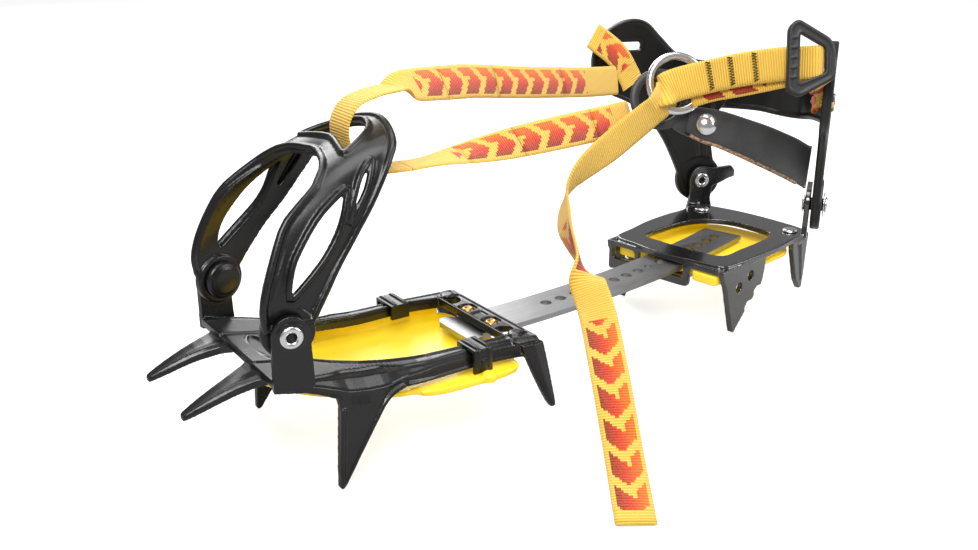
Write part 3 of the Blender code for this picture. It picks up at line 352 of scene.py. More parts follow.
# painted shade: a dark material for the plugs that fill the rivet bores
BORE_SHADE = coated("painted_bore_shade_look", (0.004, 0.004, 0.004, 1), 0.6)
BRASS = bright("brass_look", (0.50, 0.27, 0.08, 1), 0.28)
YELLOW = rubber("snow_plate_look", (1.0, 0.68, 0.0, 1))
WEB_PRINT = web_cloth("webbing_printed_look", (0.95, 0.62, 0.09, 1), True)
WEB_PLAIN = web_cloth("webbing_plain_look", (0.95, 0.62, 0.09, 1), False)
BAND = band_cloth("ankle_band_look")
RAW = raw_edge("raw_edge_look")
THREAD = coated("thread_look", (0.006, 0.006, 0.006, 1), 0.75, 0.0002)


# ---------------- mesh helpers
def new_object(name, verts, faces, mat, place=None):
    """verts are layout millimetres, or millimetres in place's own axes."""
    place = place or Matrix.Identity(4)
    mesh = bpy.data.meshes.new(name)
    mesh.from_pydata([at(place @ Vector(v)) for v in verts], [], faces)
    for m in (mat if isinstance(mat, list) else [mat]):
        mesh.materials.append(m)
    obj = bpy.data.objects.new(name, mesh)
    bpy.context.scene.collection.objects.link(obj)
    return obj


def tidy(obj, smooth=True, merge=2e-6):
    """Weld, turn the faces outwards and, if asked, shade smooth; merge is in metres."""
    bm = bmesh.new()
    bm.from_mesh(obj.data)
    bmesh.ops.remove_doubles(bm, verts=bm.verts, dist=merge)
    bmesh.ops.recalc_face_normals(bm, faces=bm.faces)
    bm.to_mesh(obj.data)
    bm.free()
    if smooth:
        obj.data.shade_smooth()
    return obj


def bake(obj):
    graph = bpy.context.evaluated_depsgraph_get()
    mesh = bpy.data.meshes.new_from_object(obj.evaluated_get(graph))
    obj.modifiers.clear()
    obj.data = mesh
    return obj


def grid_faces(rows, columns, closed=False):
    faces = []
    for i in range(rows - 1):
        for j in range(columns - 1 + (1 if closed else 0)):
            k = (j + 1) % columns
            faces.append((i * columns + j, i * columns + k, (i + 1) * columns + k, (i + 1) * columns + j))
    return faces


def loft(name, sections, mat, place=None):
    n, last = len(sections[0]), (len(sections) - 1) * len(sections[0])
    faces = grid_faces(len(sections), n, True)
    faces += [tuple(range(n - 1, -1, -1)), tuple(last + i for i in range(n))]
    return tidy(new_object(name, [p for s in sections for p in s], faces, mat, place))


def turned(name, profile, mat, place, steps=56, closed=False):
    verts, faces, n = [], [], len(profile)
    for i in range(steps):
        a = 2 * math.pi * i / steps
        verts += [(r * math.cos(a), r * math.sin(a), h) for r, h in profile]
    for i in range(steps):
        k = (i + 1) % steps
        for j in range(n if closed else n - 1):
            m = (j + 1) % n
            faces.append((i * n + j, k * n + j, k * n + m, i * n + m))
    if not closed:
        faces += [tuple(i * n for i in range(steps)), tuple(i * n + n - 1 for i in reversed(range(steps)))]
    return tidy(new_object(name, verts, faces, mat, place))


def tube(name, path, radius, mat, place=None, sides=10, closed=False, taper=None):
    """A round bead along a list of points."""
    pts, sections = [Vector(p) for p in path], []
    side, n = Vector((0.13, 0.31, 1)), len(pts)
    turns = [2 * math.pi * k / sides for k in range(sides)]
    for i, c in enumerate(pts):
        a, b = (pts[i - 1], pts[(i + 1) % n]) if closed else (pts[max(i - 1, 0)], pts[min(i + 1, n - 1)])
        ahead = (b - a).normalized()
        u = (side - ahead * side.dot(ahead)).normalized()
        w, side = ahead.cross(u), u
        r = radius * (taper(i / (n - 1)) if taper else 1)
        sections.append([c + (u * math.cos(q) + w * math.sin(q)) * r for q in turns])
    last = (n - 1) * sides
    faces = grid_faces(n, sides, True)
    if closed:
        faces += [(last + k, last + (k + 1) % sides, (k + 1) % sides, k) for k in range(sides)]
    else:
        faces += [tuple(range(sides - 1, -1, -1)), tuple(last + i for i in range(sides))]
    return tidy(new_object(name, [p for s in sections for p in s], faces, mat, place))


def plate(name, outline, z0, z1, mat, place=None, holes=()):
    """A flat outline with holes, from height z0 to z1."""
    curve = bpy.data.curves.new(name, "CURVE")
    curve.dimensions, curve.fill_mode, curve.extrude = "2D", "BOTH", abs(z1 - z0) / 2
    for ring in (outline, *holes):
        spline = curve.splines.new("POLY")
        spline.points.add(len(ring) - 1)
        for point, (x, y) in zip(spline.points, ring):
            point.co = (x, y, 0, 1)
        spline.use_cyclic_u = True
    source = bpy.data.objects.new(name + "_outline", curve)
    bpy.context.scene.collection.objects.link(source)
    graph = bpy.context.evaluated_depsgraph_get()
    mesh = bpy.data.meshes.new_from_object(source.evaluated_get(graph))
    bpy.data.objects.remove(source, do_unlink=True)
    lift = Matrix.Translation((0, 0, (z0 + z1) / 2))
    verts = [tuple(lift @ v.co) for v in mesh.vertices]
    faces = [tuple(p.vertices) for p in mesh.polygons]
    return tidy(new_object(name, verts, faces, mat, place), smooth=False)


def cad_copy(node, name, mat):
    """A welded copy of a CAD node, as the start of a detailed skin."""
    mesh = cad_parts[node].data.copy()
    mesh.materials.clear()
    mesh.materials.append(mat)
    obj = bpy.data.objects.new(name, mesh)
    bpy.context.scene.collection.objects.link(obj)
    return tidy(obj, smooth=False, merge=CAD_WELD)


def join(name, objs):
    """One mesh from several closed ones."""
    bm = bmesh.new()
    for obj in objs:
        bm.from_mesh(obj.data)
    mesh = bpy.data.meshes.new(name)
    bm.to_mesh(mesh)
    bm.free()
    mesh.materials.append(objs[0].data.materials[0])
    for obj in objs:
        bpy.data.objects.remove(obj, do_unlink=True)
    out = bpy.data.objects.new(name, mesh)
    bpy.context.scene.collection.objects.link(out)
    return out


def skin(name, objs, voxel, smooth, factor=0.5):
    """Fuse closed pieces into one surface with soft, filleted edges."""
    obj = join(name, objs)
    mod = obj.modifiers.new("fuse", "REMESH")
    mod.mode, mod.voxel_size = "VOXEL", voxel * MM
    mod = obj.modifiers.new("soften", "SMOOTH")
    mod.factor, mod.iterations = factor, smooth
    bake(obj)
    obj.data.shade_smooth()
    return obj


def put(obj, body, slot, *nodes):
    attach(obj, body)
    if nodes:
        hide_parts(*nodes)
    return obj


# ---------------- pressed steel
INNER_TOE = [(-8, 15), (6, 15), (15, 15.6), (23, 19.6)]
NEAR_IN = INNER_TOE + [(33, 22.6), (42, 24), (60, 25.5), (84, 28.5), (98, 30), (110, 31)]
FAR_IN = INNER_TOE + [(33, 22), (42, 23.5), (60, 24.5), (84, 24), (98, 20), (110, 18)]
OUTER_TOE = [(-8, 36.6), (0, 37.4), (18, 39)]
NEAR_OUT = OUTER_TOE + [(30, 39), (45, 36.8), (60, 35.2), (84, 35.6), (98, 38), (110, 41.5)]
FAR_OUT = OUTER_TOE + [(30, 38), (45, 35.4), (60, 33.4), (84, 32), (98, 30), (110, 28.5)]
BEND = [(-8, 4), (8, 5), (16, 8), (22, 11), (38, 11), (48, 6), (60, 4), (110, 4)]
FLANGE = [(16.2, 33.8), (17.0, 33.5), (17.5, 20), (18.0, 7), (18.6, 0.6), (19.4, 0), (20.6, 0.5), (21.6, 2.4),
          (30.0, 17.5), (37.0, 28.2), (40.5, 31.0), (45.0, 32.2)]
FRONT_RIB = [(17.9, 33), (18.1, 27), (18.3, 20), (18.6, 13), (19.0, 6), (19.6, 1.8)]
BACK_RIB = [(20.2, 2), (22.5, 6), (26, 12.6), (29.6, 19), (33, 24.4), (37, 29.9), (41, 32.4), (46, 33.6)]
RAKE = 0.13
STUD_Y = (-13, 5)


def flange_low(x):
    rail = front_top(x) - table(x, [(6, 4.6), (14, 7.0)])
    return rail if x < 16.2 or x > 45 else min(rail, table(x, FLANGE))


def flange_face(x, z, side, outer):
    """A point on the rail's outer face, at height z; x is given before the tooth's rake."""
    top, r = front_top(x), table(x, BEND)
    y = table(x, outer) + 0.05 * (top - r - z)
    return (x - RAKE * max(0.0, 34 - z), side * y, z)


def rail_beads(side, inner, outer):
    """The rolled ridges that stiffen a rail: shoulder, inner lip, flange edge and the tooth's ribs."""
    shoulder, second, lip, low = [], [], [], []
    for x in range(-6, 109, 3):
        r, top, yo = table(x, BEND), front_top(x), table(x, outer)
        for line, degrees, sink in ((shoulder, 8, 0.25), (second, 62, 0.3)):
            a = math.radians(degrees)
            line.append((x, side * (yo - r + (r - sink) * math.sin(a)), top - r + (r - sink) * math.cos(a)))
        lip.append((x, side * (table(x, inner) + 1.1), top - 0.15))
        if x > 45:
            low.append(flange_face(x, flange_low(x) + 0.9, side, outer))
    beads = [tube("bead", smooth_path(line, 2), r, BLACK_STEEL)
             for line, r in ((shoulder, 0.85), (second, 0.7), (lip, 0.95), (low, 0.8))]
    for rib, taper in ((FRONT_RIB, lambda t: 1 - 0.4 * t), (BACK_RIB, lambda t: 0.6 + 0.4 * t)):
        path = smooth_path([flange_face(x, z, side, outer) for x, z in rib])
        beads.append(tube("bead", path, 1.15, BLACK_STEEL, taper=taper))
    return beads


def subtract(obj, tools):
    """Cut the tools out of obj and remove them."""
    for tool in tools:
        mod = obj.modifiers.new("cut", "BOOLEAN")
        mod.operation, mod.solver, mod.object = "DIFFERENCE", "EXACT", tool
    bake(obj)
    for tool in tools:
        bpy.data.objects.remove(tool, do_unlink=True)
    return obj


def corners(x0, y0, x1, y1):
    """A rectangle's outline."""
    return [(x0, y0), (x0, y1), (x1, y1), (x1, y0)]


def make_front():
    shell = cad_copy("front_frame", "shell", BLACK_STEEL)
    extra = rail_beads(-1, NEAR_IN, NEAR_OUT) + rail_beads(1, FAR_IN, FAR_OUT)
    web_rim = level(oval(3.5, 0, 3.6, 11.5, 40), front_top(3) - 0.15)
    extra.append(tube("bead", web_rim, 0.7, BLACK_STEEL, closed=True))
    web_edge = [(11.6, y, front_top(11.6) - 0.1) for y in (-18, -9, 0, 9, 18)]
    extra.append(tube("bead", smooth_path(web_edge), 0.95, BLACK_STEEL))
    for side in (-1, 1):
        seat = [(3.9, 0), (5.6, 0), (5.2, 0.5), (4.1, 0.5)]
        extra.append(turned("seat", seat, BLACK_STEEL, toe_post(side), 40, closed=True))
    for x, first, last in ((98.6, -36, 27), (109.0, -38, 28)):
        extra.append(tube("bead", [(x, y, 37.8) for y in range(first, last, 3)], 0.7, BLACK_STEEL))
    for y in (-30.5, 22):
        boss = [(0, -1), (3.6, -1), (3.2, 0.9), (2.2, 1.2), (0, 1.2)]
        extra.append(turned("boss", boss, BLACK_STEEL, Matrix.Translation((104, y, 37.7)), 28))
    recess = [plate("recess", rounded(corners(99.9, y - 4.2, 107.6, y + 4.2), 3.6), 36.6, 40, BLACK_STEEL)
              for y in STUD_Y]
    middle = rounded(corners(100.8, -7.2, 106.8, -0.8), 0.8)
    recess.append(plate("recess", middle, 36.9, 40, BLACK_STEEL))
    shell = subtract(shell, recess)
    put(skin("front_frame_look", [shell] + extra, 0.36, 3), "front", "coated_steel", "front_frame")
    eye = [(0, -0.9), (2.9, -0.9), (2.9, 0.1), (2.1, 0.75), (1.3, 0.75), (0.9, 0.3), (0, 0.3)]
    for y, word in zip(STUD_Y, WORDS.values()):
        stud = turned("bridge_stud_" + word, eye, BRASS, Matrix.Translation((103.7, y, 36.9)), 36)
        put(stud, "front", "brass")


def make_heel():
    shell = cad_copy("heel_frame", "shell", HEEL_STEEL)
    extra = [tube("bead", between((69.5, side * 36.5, 33), (74.5, side * 36.5, 11), 6), 1.3, HEEL_STEEL, HEEL,
                  taper=lambda t: 1 - 0.5 * t) for side in (-1, 1)]
    put(skin("heel_frame_look", [shell] + extra, 0.36, 3), "heel", "heel_steel", "heel_frame")


def dress(node, mat, bevel=0.0):
    """Material, rounded edges (bevel in mm) and smooth shading for a CAD node that stays in view."""
    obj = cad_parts[node]
    obj.data.materials.clear()
    obj.data.materials.append(mat)
    mod = obj.modifiers.new("weld", "WELD")
    mod.merge_threshold = CAD_WELD
    if bevel:
        mod = obj.modifiers.new("edge", "BEVEL")
        mod.width, mod.segments, mod.limit_method = bevel * MM, 2, "ANGLE"
        mod.angle_limit = math.radians(32)
        mod.use_clamp_overlap = True
    obj.data.shade_smooth()
    mod = obj.modifiers.new("normals", "WEIGHTED_NORMAL")
    mod.keep_sharp = True


make_front()
make_heel()
dress("link_bar", BAR_STEEL, 0.25)
dress("lock_spring", BAR_STEEL, 0.15)
dress("lock_peg", BRASS)
dress("lock_rivet", BRASS)


# ---------------- rivets and washers
BORE, SHANK, HEAD = 1.9, 3.4, 4.3   # radii of a tubular rivet, mm


def rivet(name, place, z0, z1, body, node):
    """A hollow rivet with rolled lips, drawn finer than the CAD one."""
    lip = [(HEAD - 0.1, 0), (HEAD, 0.35), (HEAD - 0.25, 0.85), (HEAD - 0.9, 1.15), (BORE + 0.9, 1.15),
           (BORE + 0.3, 0.9), (BORE, 0.4)]
    profile = [(SHANK, z0), (SHANK, z1)] + [(r, z1 + d) for r, d in lip]
    profile += [(r, z0 - d) for r, d in lip[::-1]]
    put(turned(name, profile, CHROME, place, 64, closed=True), body, "bright_steel", node)
    # painted shade: a dark plug fills the bore, standing in for the shade inside the hollow rivet
    dark = [(0, z0 + 0.3), (1.85, z0 + 0.3), (1.85, z1 - 0.1), (0, z1 - 0.1)]
    put(turned(name + "_bore_shade", dark, BORE_SHADE, place, 32), body, "bright_steel")


def washer(name, profile, place, body, node):
    put(turned(name, profile, CHROME, place, 56, closed=True), body, "bright_steel", node)


def make_rivets(side, word):
    place = toe_post(side)
    rivet("toe_tube_" + word, place, -POST_T - 6.9, 0.3, "front", "toe_rivet_" + word)
    ring = [(3.75, -9.35), (6.2, -9.35), (6.4, -9.2), (6.4, -8.9), (3.75, -8.85)]
    washer("toe_disc_washer_" + word, ring, place, "front", "toe_washer_" + word)
    place = heel_post(side)
    rivet("heel_tube_" + word, place, -POST_T - 0.3, 7.6, "heel", "heel_rivet_" + word)
    ring = [(3.75, 6.65), (6.6, 6.65), (6.6, 7.1), (6.4, 7.3), (3.75, 7.3)]
    washer("heel_disc_washer_" + word, ring, place, "heel", "heel_washer_" + word)
    dome = [(4.2 * math.cos(a), 1.6 * math.sin(a)) for a in (math.pi / 20 * k for k in range(11))]
    place = HEEL @ Matrix.Translation((71.5, side * 28.5, 38.3))
    profile = dome[::-1] + [(2.2, -0.05), (2.2, -4.2), (0, -4.2)]
    screw = turned("heel_screw_" + word, profile, CHROME, place, 56)
    put(screw, "heel", "bright_steel", "heel_corner_rivet_" + word)


for side, word in WORDS.items():
    make_rivets(side, word)


# ---------------- yellow snow plates and their clips
def make_front_plate():
    shell = cad_copy("front_snow_plate", "shell", YELLOW)
    rim = [(52.5, -37.5, 28.6), (62, -40.6, 28.6), (76, -41.6, 28.6), (90, -42.4, 28.6), (97, -40.8, 28.6),
           (99, -36, 28.6)]
    extra = [tube("rim", smooth_path(rim), 0.9, YELLOW)]
    for y in (-20, -10, 0, 10, 20):
        sag = 1.9 * (1 - abs(y) / 34)
        ridge = [(x, y * (0.55 + 0.45 * min(1, x / 60)), 26.3 + 9 * max(0, (52 - x) / 52) ** 1.4 - sag)
                 for x in range(16, 95, 6)]
        extra.append(tube("ridge", ridge, 0.8, YELLOW))
    wall = []
    for x in range(40, 102, 4):
        y = table(x, FAR_OUT) - 3.4
        wall.append([(x, y - 1.5, 26.6), (x, y, 26.6), (x, y, 33.2), (x, y - 1.5, 33.2)])
    extra.append(loft("wall", wall, YELLOW))
    look = skin("front_snow_plate_look", [shell] + extra, 0.5, 5)
    put(look, "front", "snow_plate_rubber", "front_snow_plate")


def make_heel_plate():
    """The rim runs along both sides and stays clear of the bar, which slides in between."""
    shell = cad_copy("heel_snow_plate", "shell", YELLOW)
    ring = smooth_closed([(8, 28), (24, 29.5), (40, 29.5), (58, 27.5), (70, 19), (74, 4), (72, -15),
                          (61, -28.5), (45, -30), (22, -29.4), (8, -28)], 4)[:-3]
    sides = [p for p in ring if p[1] > 19], [p for p in ring if p[1] < -17]
    extra = [tube("rim", level(part, z), 1.1, YELLOW, HEEL)
             for part in sides for z in (30.3, 31.6, 32.9, 33.8)]
    for y in (-16, 16):
        extra.append(tube("ridge", [(x, y, 29.9) for x in range(14, 62, 6)], 0.9, YELLOW, HEEL))
    look = skin("heel_snow_plate_look", [shell] + extra, 0.55, 6)
    put(look, "heel", "snow_plate_rubber", "heel_snow_plate")


def make_clip(node, x, side, y_in, y_out):
    """The moulded clip: rounded body, two ridges across its top and a pinch on the flange side."""
    shell = cad_copy(node, "shell", PLASTIC)
    across = [(y_in - 1.2, 39.4), (y_in + 2, 39.8), (y_out - 2, 39.8), (y_out + 1.4, 39.2), (y_out + 2.2, 36),
              (y_out + 2.0, 31)]
    extra = [tube("ridge", smooth_path([(x + dx, side * y, z) for y, z in across]), 0.85, PLASTIC)
             for dx in (2.0, 7.0)]
    pinch = [(x + 4.5, side * (y_out + 2.0), z) for z in (35, 33, 31, 30)]
    extra.append(tube("pinch", pinch, 1.3, PLASTIC))
    put(skin(node + "_look", [shell] + extra, 0.3, 4), "front", "basket_plastic", node)


make_front_plate()
make_heel_plate()
make_clip("front_clip_near", 77.5, -1, 27.5, 36.4)
make_clip("front_clip_far", 74.0, 1, 23.4, 33.4)


# ---------------- toe hood
HOOD_FRONT = [(-8.2, 32.2, 66.5), (-7.4, 33.0, 79), (-2.5, 31.5, 92), (5, 27.5, 105), (14, 22, 112.5),
              (24, 12.5, 118.5), (31.5, 0, 121)]
HOOD_REAR = [(8.8, 35.9, 66.5), (20, 33.5, 84), (31, 31, 97), (39.5, 30, 108), (48.5, 27, 120.5),
             (54.5, 20, 126.5), (59.5, 0, 130.5)]
HOOD_EDGE = [(0, 0), (7, 0.6), (16.7, 2.6), (25, 3.6), (35, 3.6), (42, 2.0), (50, 0.6), (58, 0), (72, 0),
             (86, 0), (98, 1.2), (98, 18.8), (86, 20), (72, 20), (58, 20), (44, 20), (30, 20), (15, 20),
             (0, 20)]
HOOD_OVAL = [(85, 7.4), (71.7, 5.4), (61.7, 6.0), (50, 8.0), (41.7, 11.4), (48.3, 12.6), (61.7, 14),
             (73.3, 13.4), (81.7, 10.6)]
HOOD_SLIT = [(58.5, 16.4), (56.7, 15.4), (46.7, 14.6), (38.3, 14.0), (30, 15.4), (36.7, 16.1), (45, 16.6),
             (53.3, 16.6)]
HOOD_STRAP = [(0, 5.6), (8, 6.2), (14, 7.2), (19.5, 8.4), (16.5, 10.2), (12.4, 12.4), (7.5, 14.6), (0, 15.6)]


def edge_point(points, t):
    first, last = Vector(points[0]), Vector(points[-2])
    pts = [first * 2 - Vector(points[1])] + [Vector(p) for p in points] + [Vector((last.x, -last.y, last.z))]
    n = len(points) - 1
    k = min(int(t * n), n - 1)
    return catmull(pts[k:k + 4], t * n - k)


def hood_point(x, y, depth):
    """Bend the flat pattern over the toe: x across from -100 to 100, y from front to rear, depth inwards."""
    side = -1.0 if x < 0 else 1.0
    t, v = 1 - abs(x) / 100, y / 20

    def surface(t, v):
        f, r = edge_point(HOOD_FRONT, t), edge_point(HOOD_REAR, t)
        ahead = edge_point(HOOD_FRONT, t + 0.01) + edge_point(HOOD_REAR, t + 0.01) - f - r
        out = (r - f).cross(ahead).normalized()
        if out.z + 0.5 * out.y < 0:
            out = -out
        return f + (r - f) * v + out * 10 * v * (1 - v) * min(1.0, t / 0.25), out

    p, out = surface(max(0.0, min(t, 0.989)), v)
    if t > 0.989:
        e, _ = surface(0.979, v)
        p = p + (p - e) * (t - 0.989) / 0.01
        p.y = 0.0 if t > 0.9995 else p.y
        out.y *= (1 - t) / 0.011
    p = p - out.normalized() * depth
    return Vector((p.x, side * p.y, p.z))


def mirrored(half):
    return half + [(-x, y) for x, y in half[-2:0:-1]]


def dense(points, step=2.2):
    """Extra points along a closed pattern outline, so that a bead can follow the bend."""
    out, n = [], len(points)
    for i in range(n):
        a, b = Vector(points[i]), Vector(points[(i + 1) % n])
        cuts = max(1, int((b - a).length / step))
        out += [tuple(a + (b - a) * k / cuts) for k in range(cuts)]
    return out


def bend_hood(flat):
    """Cut the flat pattern into narrow strips, then bend it over the toe."""
    bm = bmesh.new()
    bm.from_mesh(flat.data)
    for v in bm.verts:
        v.co = v.co / MM + ORIGIN
    for axis, values in ((0, range(-98, 99, 2)), (1, range(2, 20, 2))):
        for value in values:
            point, normal = Vector((0, 0, 0)), Vector((0, 0, 0))
            point[axis], normal[axis] = value, 1
            geometry = bm.verts[:] + bm.edges[:] + bm.faces[:]
            bmesh.ops.bisect_plane(bm, geom=geometry, plane_co=point, plane_no=normal, dist=1e-4)
    bmesh.ops.triangulate(bm, faces=bm.faces)
    for v in bm.verts:
        v.co = at(hood_point(v.co.x, v.co.y, -v.co.z))
    bmesh.ops.recalc_face_normals(bm, faces=bm.faces)
    bm.to_mesh(flat.data)
    bm.free()
    return flat


def hood_bead(ring, radius, grow):
    """A rounded edge along one outline of the pattern; grow moves it away from the outline's middle."""
    cx, cy = sum(x for x, _ in ring) / len(ring), sum(y for _, y in ring) / len(ring)
    line = []
    for x, y in dense(ring):
        d = Vector((x - cx, (y - cy) * 3)).normalized()
        u, v = x + d.x * grow, y + d.y * grow * 0.8
        line.append(hood_point(max(-97, min(97, u)), max(0.3, min(19.7, v)), -0.15))
    return tube("bead", line, radius, PLASTIC, closed=True, sides=8)


def make_hood():
    holes = [smooth_closed(mirrored(HOOD_STRAP), 3)]
    for side in (-1, 1):
        for hole in (HOOD_OVAL, HOOD_SLIT):
            holes.append(smooth_closed([(side * x, y) for x, y in hole], 3))
    edge = mirrored(HOOD_EDGE)
    pieces = [bend_hood(plate("shell", edge, -3.2, 0, PLASTIC, None, holes)), hood_bead(edge, 1.5, -0.35)]
    pieces += [hood_bead(hole, 1.3, 0.35) for hole in holes]
    disc = [(4.3, -8.0), (9.3, -8.0), (10.0, -7.3), (10.0, -4.6), (9.4, -4.0), (4.3, -4.0)]
    for side in (-1, 1):
        for y, x0, x1 in ((18.2, 24, 90), (2.6, 62, 92)):
            rib = [hood_point(side * (x0 + (x1 - x0) * k / 24), y, 0.25) for k in range(25)]
            pieces.append(tube("rib", rib, 0.75, PLASTIC, taper=lambda t: 0.4 + 0.6 * math.sin(math.pi * t)))
        pieces.append(turned("disc", disc, PLASTIC, toe_post(side), 56, closed=True))
    put(skin("toe_hood_look", pieces, 0.4, 3), "toe_hood", "basket_plastic", "toe_basket")
    cap = [(0, -11.6), (4.6, -11.5), (5.4, -11.2), (5.7, -10.9), (6.3, -10.9), (7.1, -10.4), (7.6, -9.6),
           (7.7, -8.2), (7.2, -8.1), (7.1, -9.9), (0, -11.0)]
    put(turned("toe_cap_far", cap[::-1], PLASTIC, toe_post(1), 56), "toe_hood", "basket_plastic")


# ---------------- heel wings
WING = [(-9, -4), (-7, -8.6), (0, -11.2), (8, -7.6), (11.6, 0), (15.4, 9), (23.2, 24), (33, 37), (44.5, 46),
        (59, 53), (66.5, 62), (67.2, 74), (62, 85), (50, 91.5), (38, 91), (28, 82), (18, 73), (6, 69),
        (-9, 66), (-14, 56), (-13, 44), (-7, 36), (-6, 24), (-8, 12), (-10, 4)]
WING_SLOTS = [[(40, 80), (57, 80), (57, 75.5), (40, 75.5)], [(41, 67), (60, 67), (60, 59.5), (41, 59.5)]]
WING_RIBS = ([(1, 14), (4, 30), (10, 45), (22, 56), (36, 60)], [(-3, 14), (-4, 30), (-6, 46), (-6, 60)])


def inset(points, distance):
    """Move a closed outline inwards (or outwards, if negative)."""
    area = sum(x0 * y1 - x1 * y0 for (x0, y0), (x1, y1) in zip(points, points[1:] + points[:1]))
    sign, out = (1 if area > 0 else -1), []
    for i, p in enumerate(points):
        d = (Vector(points[(i + 1) % len(points)]) - Vector(points[i - 1])).normalized()
        out.append((p[0] - sign * d.y * distance, p[1] + sign * d.x * distance))
    return out


def wing_pieces(place):
    edge = smooth_closed(WING, 6)
    slots = [rounded(s, 2) for s in WING_SLOTS]
    pieces = [plate("wing", edge, 1.4, 4.4, PLASTIC, place, slots)]
    for z in (1.9, 4.2):
        pieces.append(tube("rim", level(inset(edge, 1.0), z), 1.2, PLASTIC, place, closed=True))
    for slot in slots:
        for z in (1.9, 4.0):
            pieces.append(tube("rim", level(inset(slot, -1.0), z), 0.9, PLASTIC, place, closed=True))
    for path in WING_RIBS:
        for z in (1.6, 4.3):
            pieces.append(tube("rib", smooth_path(level(path, z)), 1.0, PLASTIC, place))
    disc = [(4.3, 1.0), (12.9, 1.0), (13.5, 1.7), (13.5, 5.4), (12.8, 6.0), (4.3, 6.0)]
    pieces.append(turned("disc", disc, PLASTIC, place, 60, closed=True))
    return pieces


def rear_band():
    """The band that joins the wings behind the heel, with a rolled edge above and below."""
    a, b = HEEL_POST
    path = [(a + 7, b - 1.0, 108), (a + 17, b - 7, 106), (a + 27, b - 18, 104), (a + 32.5, 9, 102),
            (a + 33.6, 0, 101.4)]
    path += [(x, -y, z) for x, y, z in path[3::-1]]
    half = [12, 11, 10.2, 10, 10]
    half += half[3::-1]
    centre, height = smooth_path(path, 8), smooth_path([(h, 0, 0) for h in half], 8)
    sections = []
    for i, c in enumerate(centre):
        ahead = centre[min(i + 1, len(centre) - 1)] - centre[max(i - 1, 0)]
        out, up = ahead.cross(Vector((0, 0, 1))).normalized() * 1.5, Vector((0, 0, height[i].x))
        sections.append([c + out - up, c + out + up, c - out + up, c - out - up])
    pieces = [loft("band", sections, PLASTIC, HEEL)]
    for k in (-1, 1):
        rim = [c + Vector((0, 0, k * (height[i].x - 1.0))) for i, c in enumerate(centre)]
        pieces.append(tube("rim", rim, 2.1, PLASTIC, HEEL))
    return pieces


def make_wings():
    pieces = wing_pieces(wing(1)) + wing_pieces(wing(-1)) + rear_band()
    put(skin("heel_wings_look", pieces, 0.5, 4), "ankle", "basket_plastic", "heel_basket")


make_hood()
make_wings()


# ---------------- rings, buckle, clip
def make_rings():
    lug = [(-17, 1.6), (-8, -5.1), (0, -5.6), (5.2, -2), (4.6, 4), (0, 6), (-6, 7.4), (-13, 12)]
    eye_place = RING @ Matrix.Translation((-21.3, 13.2, 0))
    body = turned("ring", oval(12.4, -2.25, 2.2, 1.25, 20), RING_GREY, eye_place, 72, closed=True)
    flat = subtract(plate("lug", smooth_closed(lug, 6), -3.15, -1.35, RING_GREY, RING),
                    [turned("bore", [(2.6, -8), (2.6, 3)], RING_GREY, RING, 40),
                     turned("eye", [(11.6, -8), (11.6, 3)], RING_GREY, eye_place, 60)])
    put(skin("ring_plate_look", [body, flat], 0.22, 4), "ring_plate", "buckle_plastic", "ring_plate")
    centre = RING @ Matrix.Translation((-14.4, 19.4, 3.4))
    wire = turned("silver_ring_look", oval(13.0, 0, 1.9, 1.75, 24), CHROME, centre, 110, closed=True)
    put(wire, "silver_ring", "bright_steel", "silver_ring")
    stud = [(0, 3.9), (1.2, 3.82), (2.4, 3.5), (3.6, 2.95), (4.5, 2.2), (5.1, 1.55), (5.3, 1.15), (2.2, 1.1),
            (2.2, -3.6), (4.0, -3.6), (3.9, -4.3), (3.2, -4.6), (0, -4.6)]
    put(turned("band_rivet_look", stud, CHROME, RING, 56), "ankle", "bright_steel", "band_rivet")


def make_slider():
    outline = rounded([(-10.6, -15.0), (-10.6, 13.6), (-6.6, 17.4), (8.4, 8.6), (10.6, 4.0), (10.6, -9.2),
                       (-4.6, -17.6)], 2.4)
    opening = rounded([(-5.2, -11.2), (-5.2, 11.0), (6.0, 4.6), (6.4, -6.4)], 1.4)
    pieces = [plate("frame", outline, -1.6, 1.6, GREY_PLASTIC, SLIDER, [opening])]
    for ring, inwards, r in ((outline, 1.1, 1.1), (opening, -0.9, 0.9)):
        for z in (-1.0, 1.0):
            pieces.append(tube("rim", level(inset(ring, inwards), z), r, GREY_PLASTIC, SLIDER, closed=True))
    for k in range(5):
        y = -9 + 4.4 * k
        pieces.append(tube("grip", [(-9.6, y, 1.5), (-6.6, y + 0.4, 1.8)], 0.6, GREY_PLASTIC, SLIDER))
    put(skin("slider_look", pieces, 0.28, 3), "slider", "buckle_plastic", "slider_buckle")


def make_wing_clip():
    place = wing(-1)
    outline = rounded([(-6.6, 50), (-0.6, 50), (-0.6, 59), (-6.6, 59)], 1.4)
    clip = plate("clip", outline, 5.2, 6.0, CLIP_STEEL, place)
    lip = tube("lip", level(inset(outline, 0.7), 5.9), 0.5, CLIP_STEEL, place, closed=True)
    middle = place @ Matrix.Translation((-3.6, 54.5, 5.9))
    dimple = turned("dimple", [(0, 0), (1.4, 0), (1.1, 0.6), (0, 0.8)], CLIP_STEEL, middle, 32)
    put(skin("wing_clip_look", [clip, lip, dimple], 0.16, 3), "ankle", "bright_steel", "wing_clip")


make_rings()
make_slider()
make_wing_clip()


# ---------------- webbing
ACROSS = 12                         # mesh columns on each face of the webbing


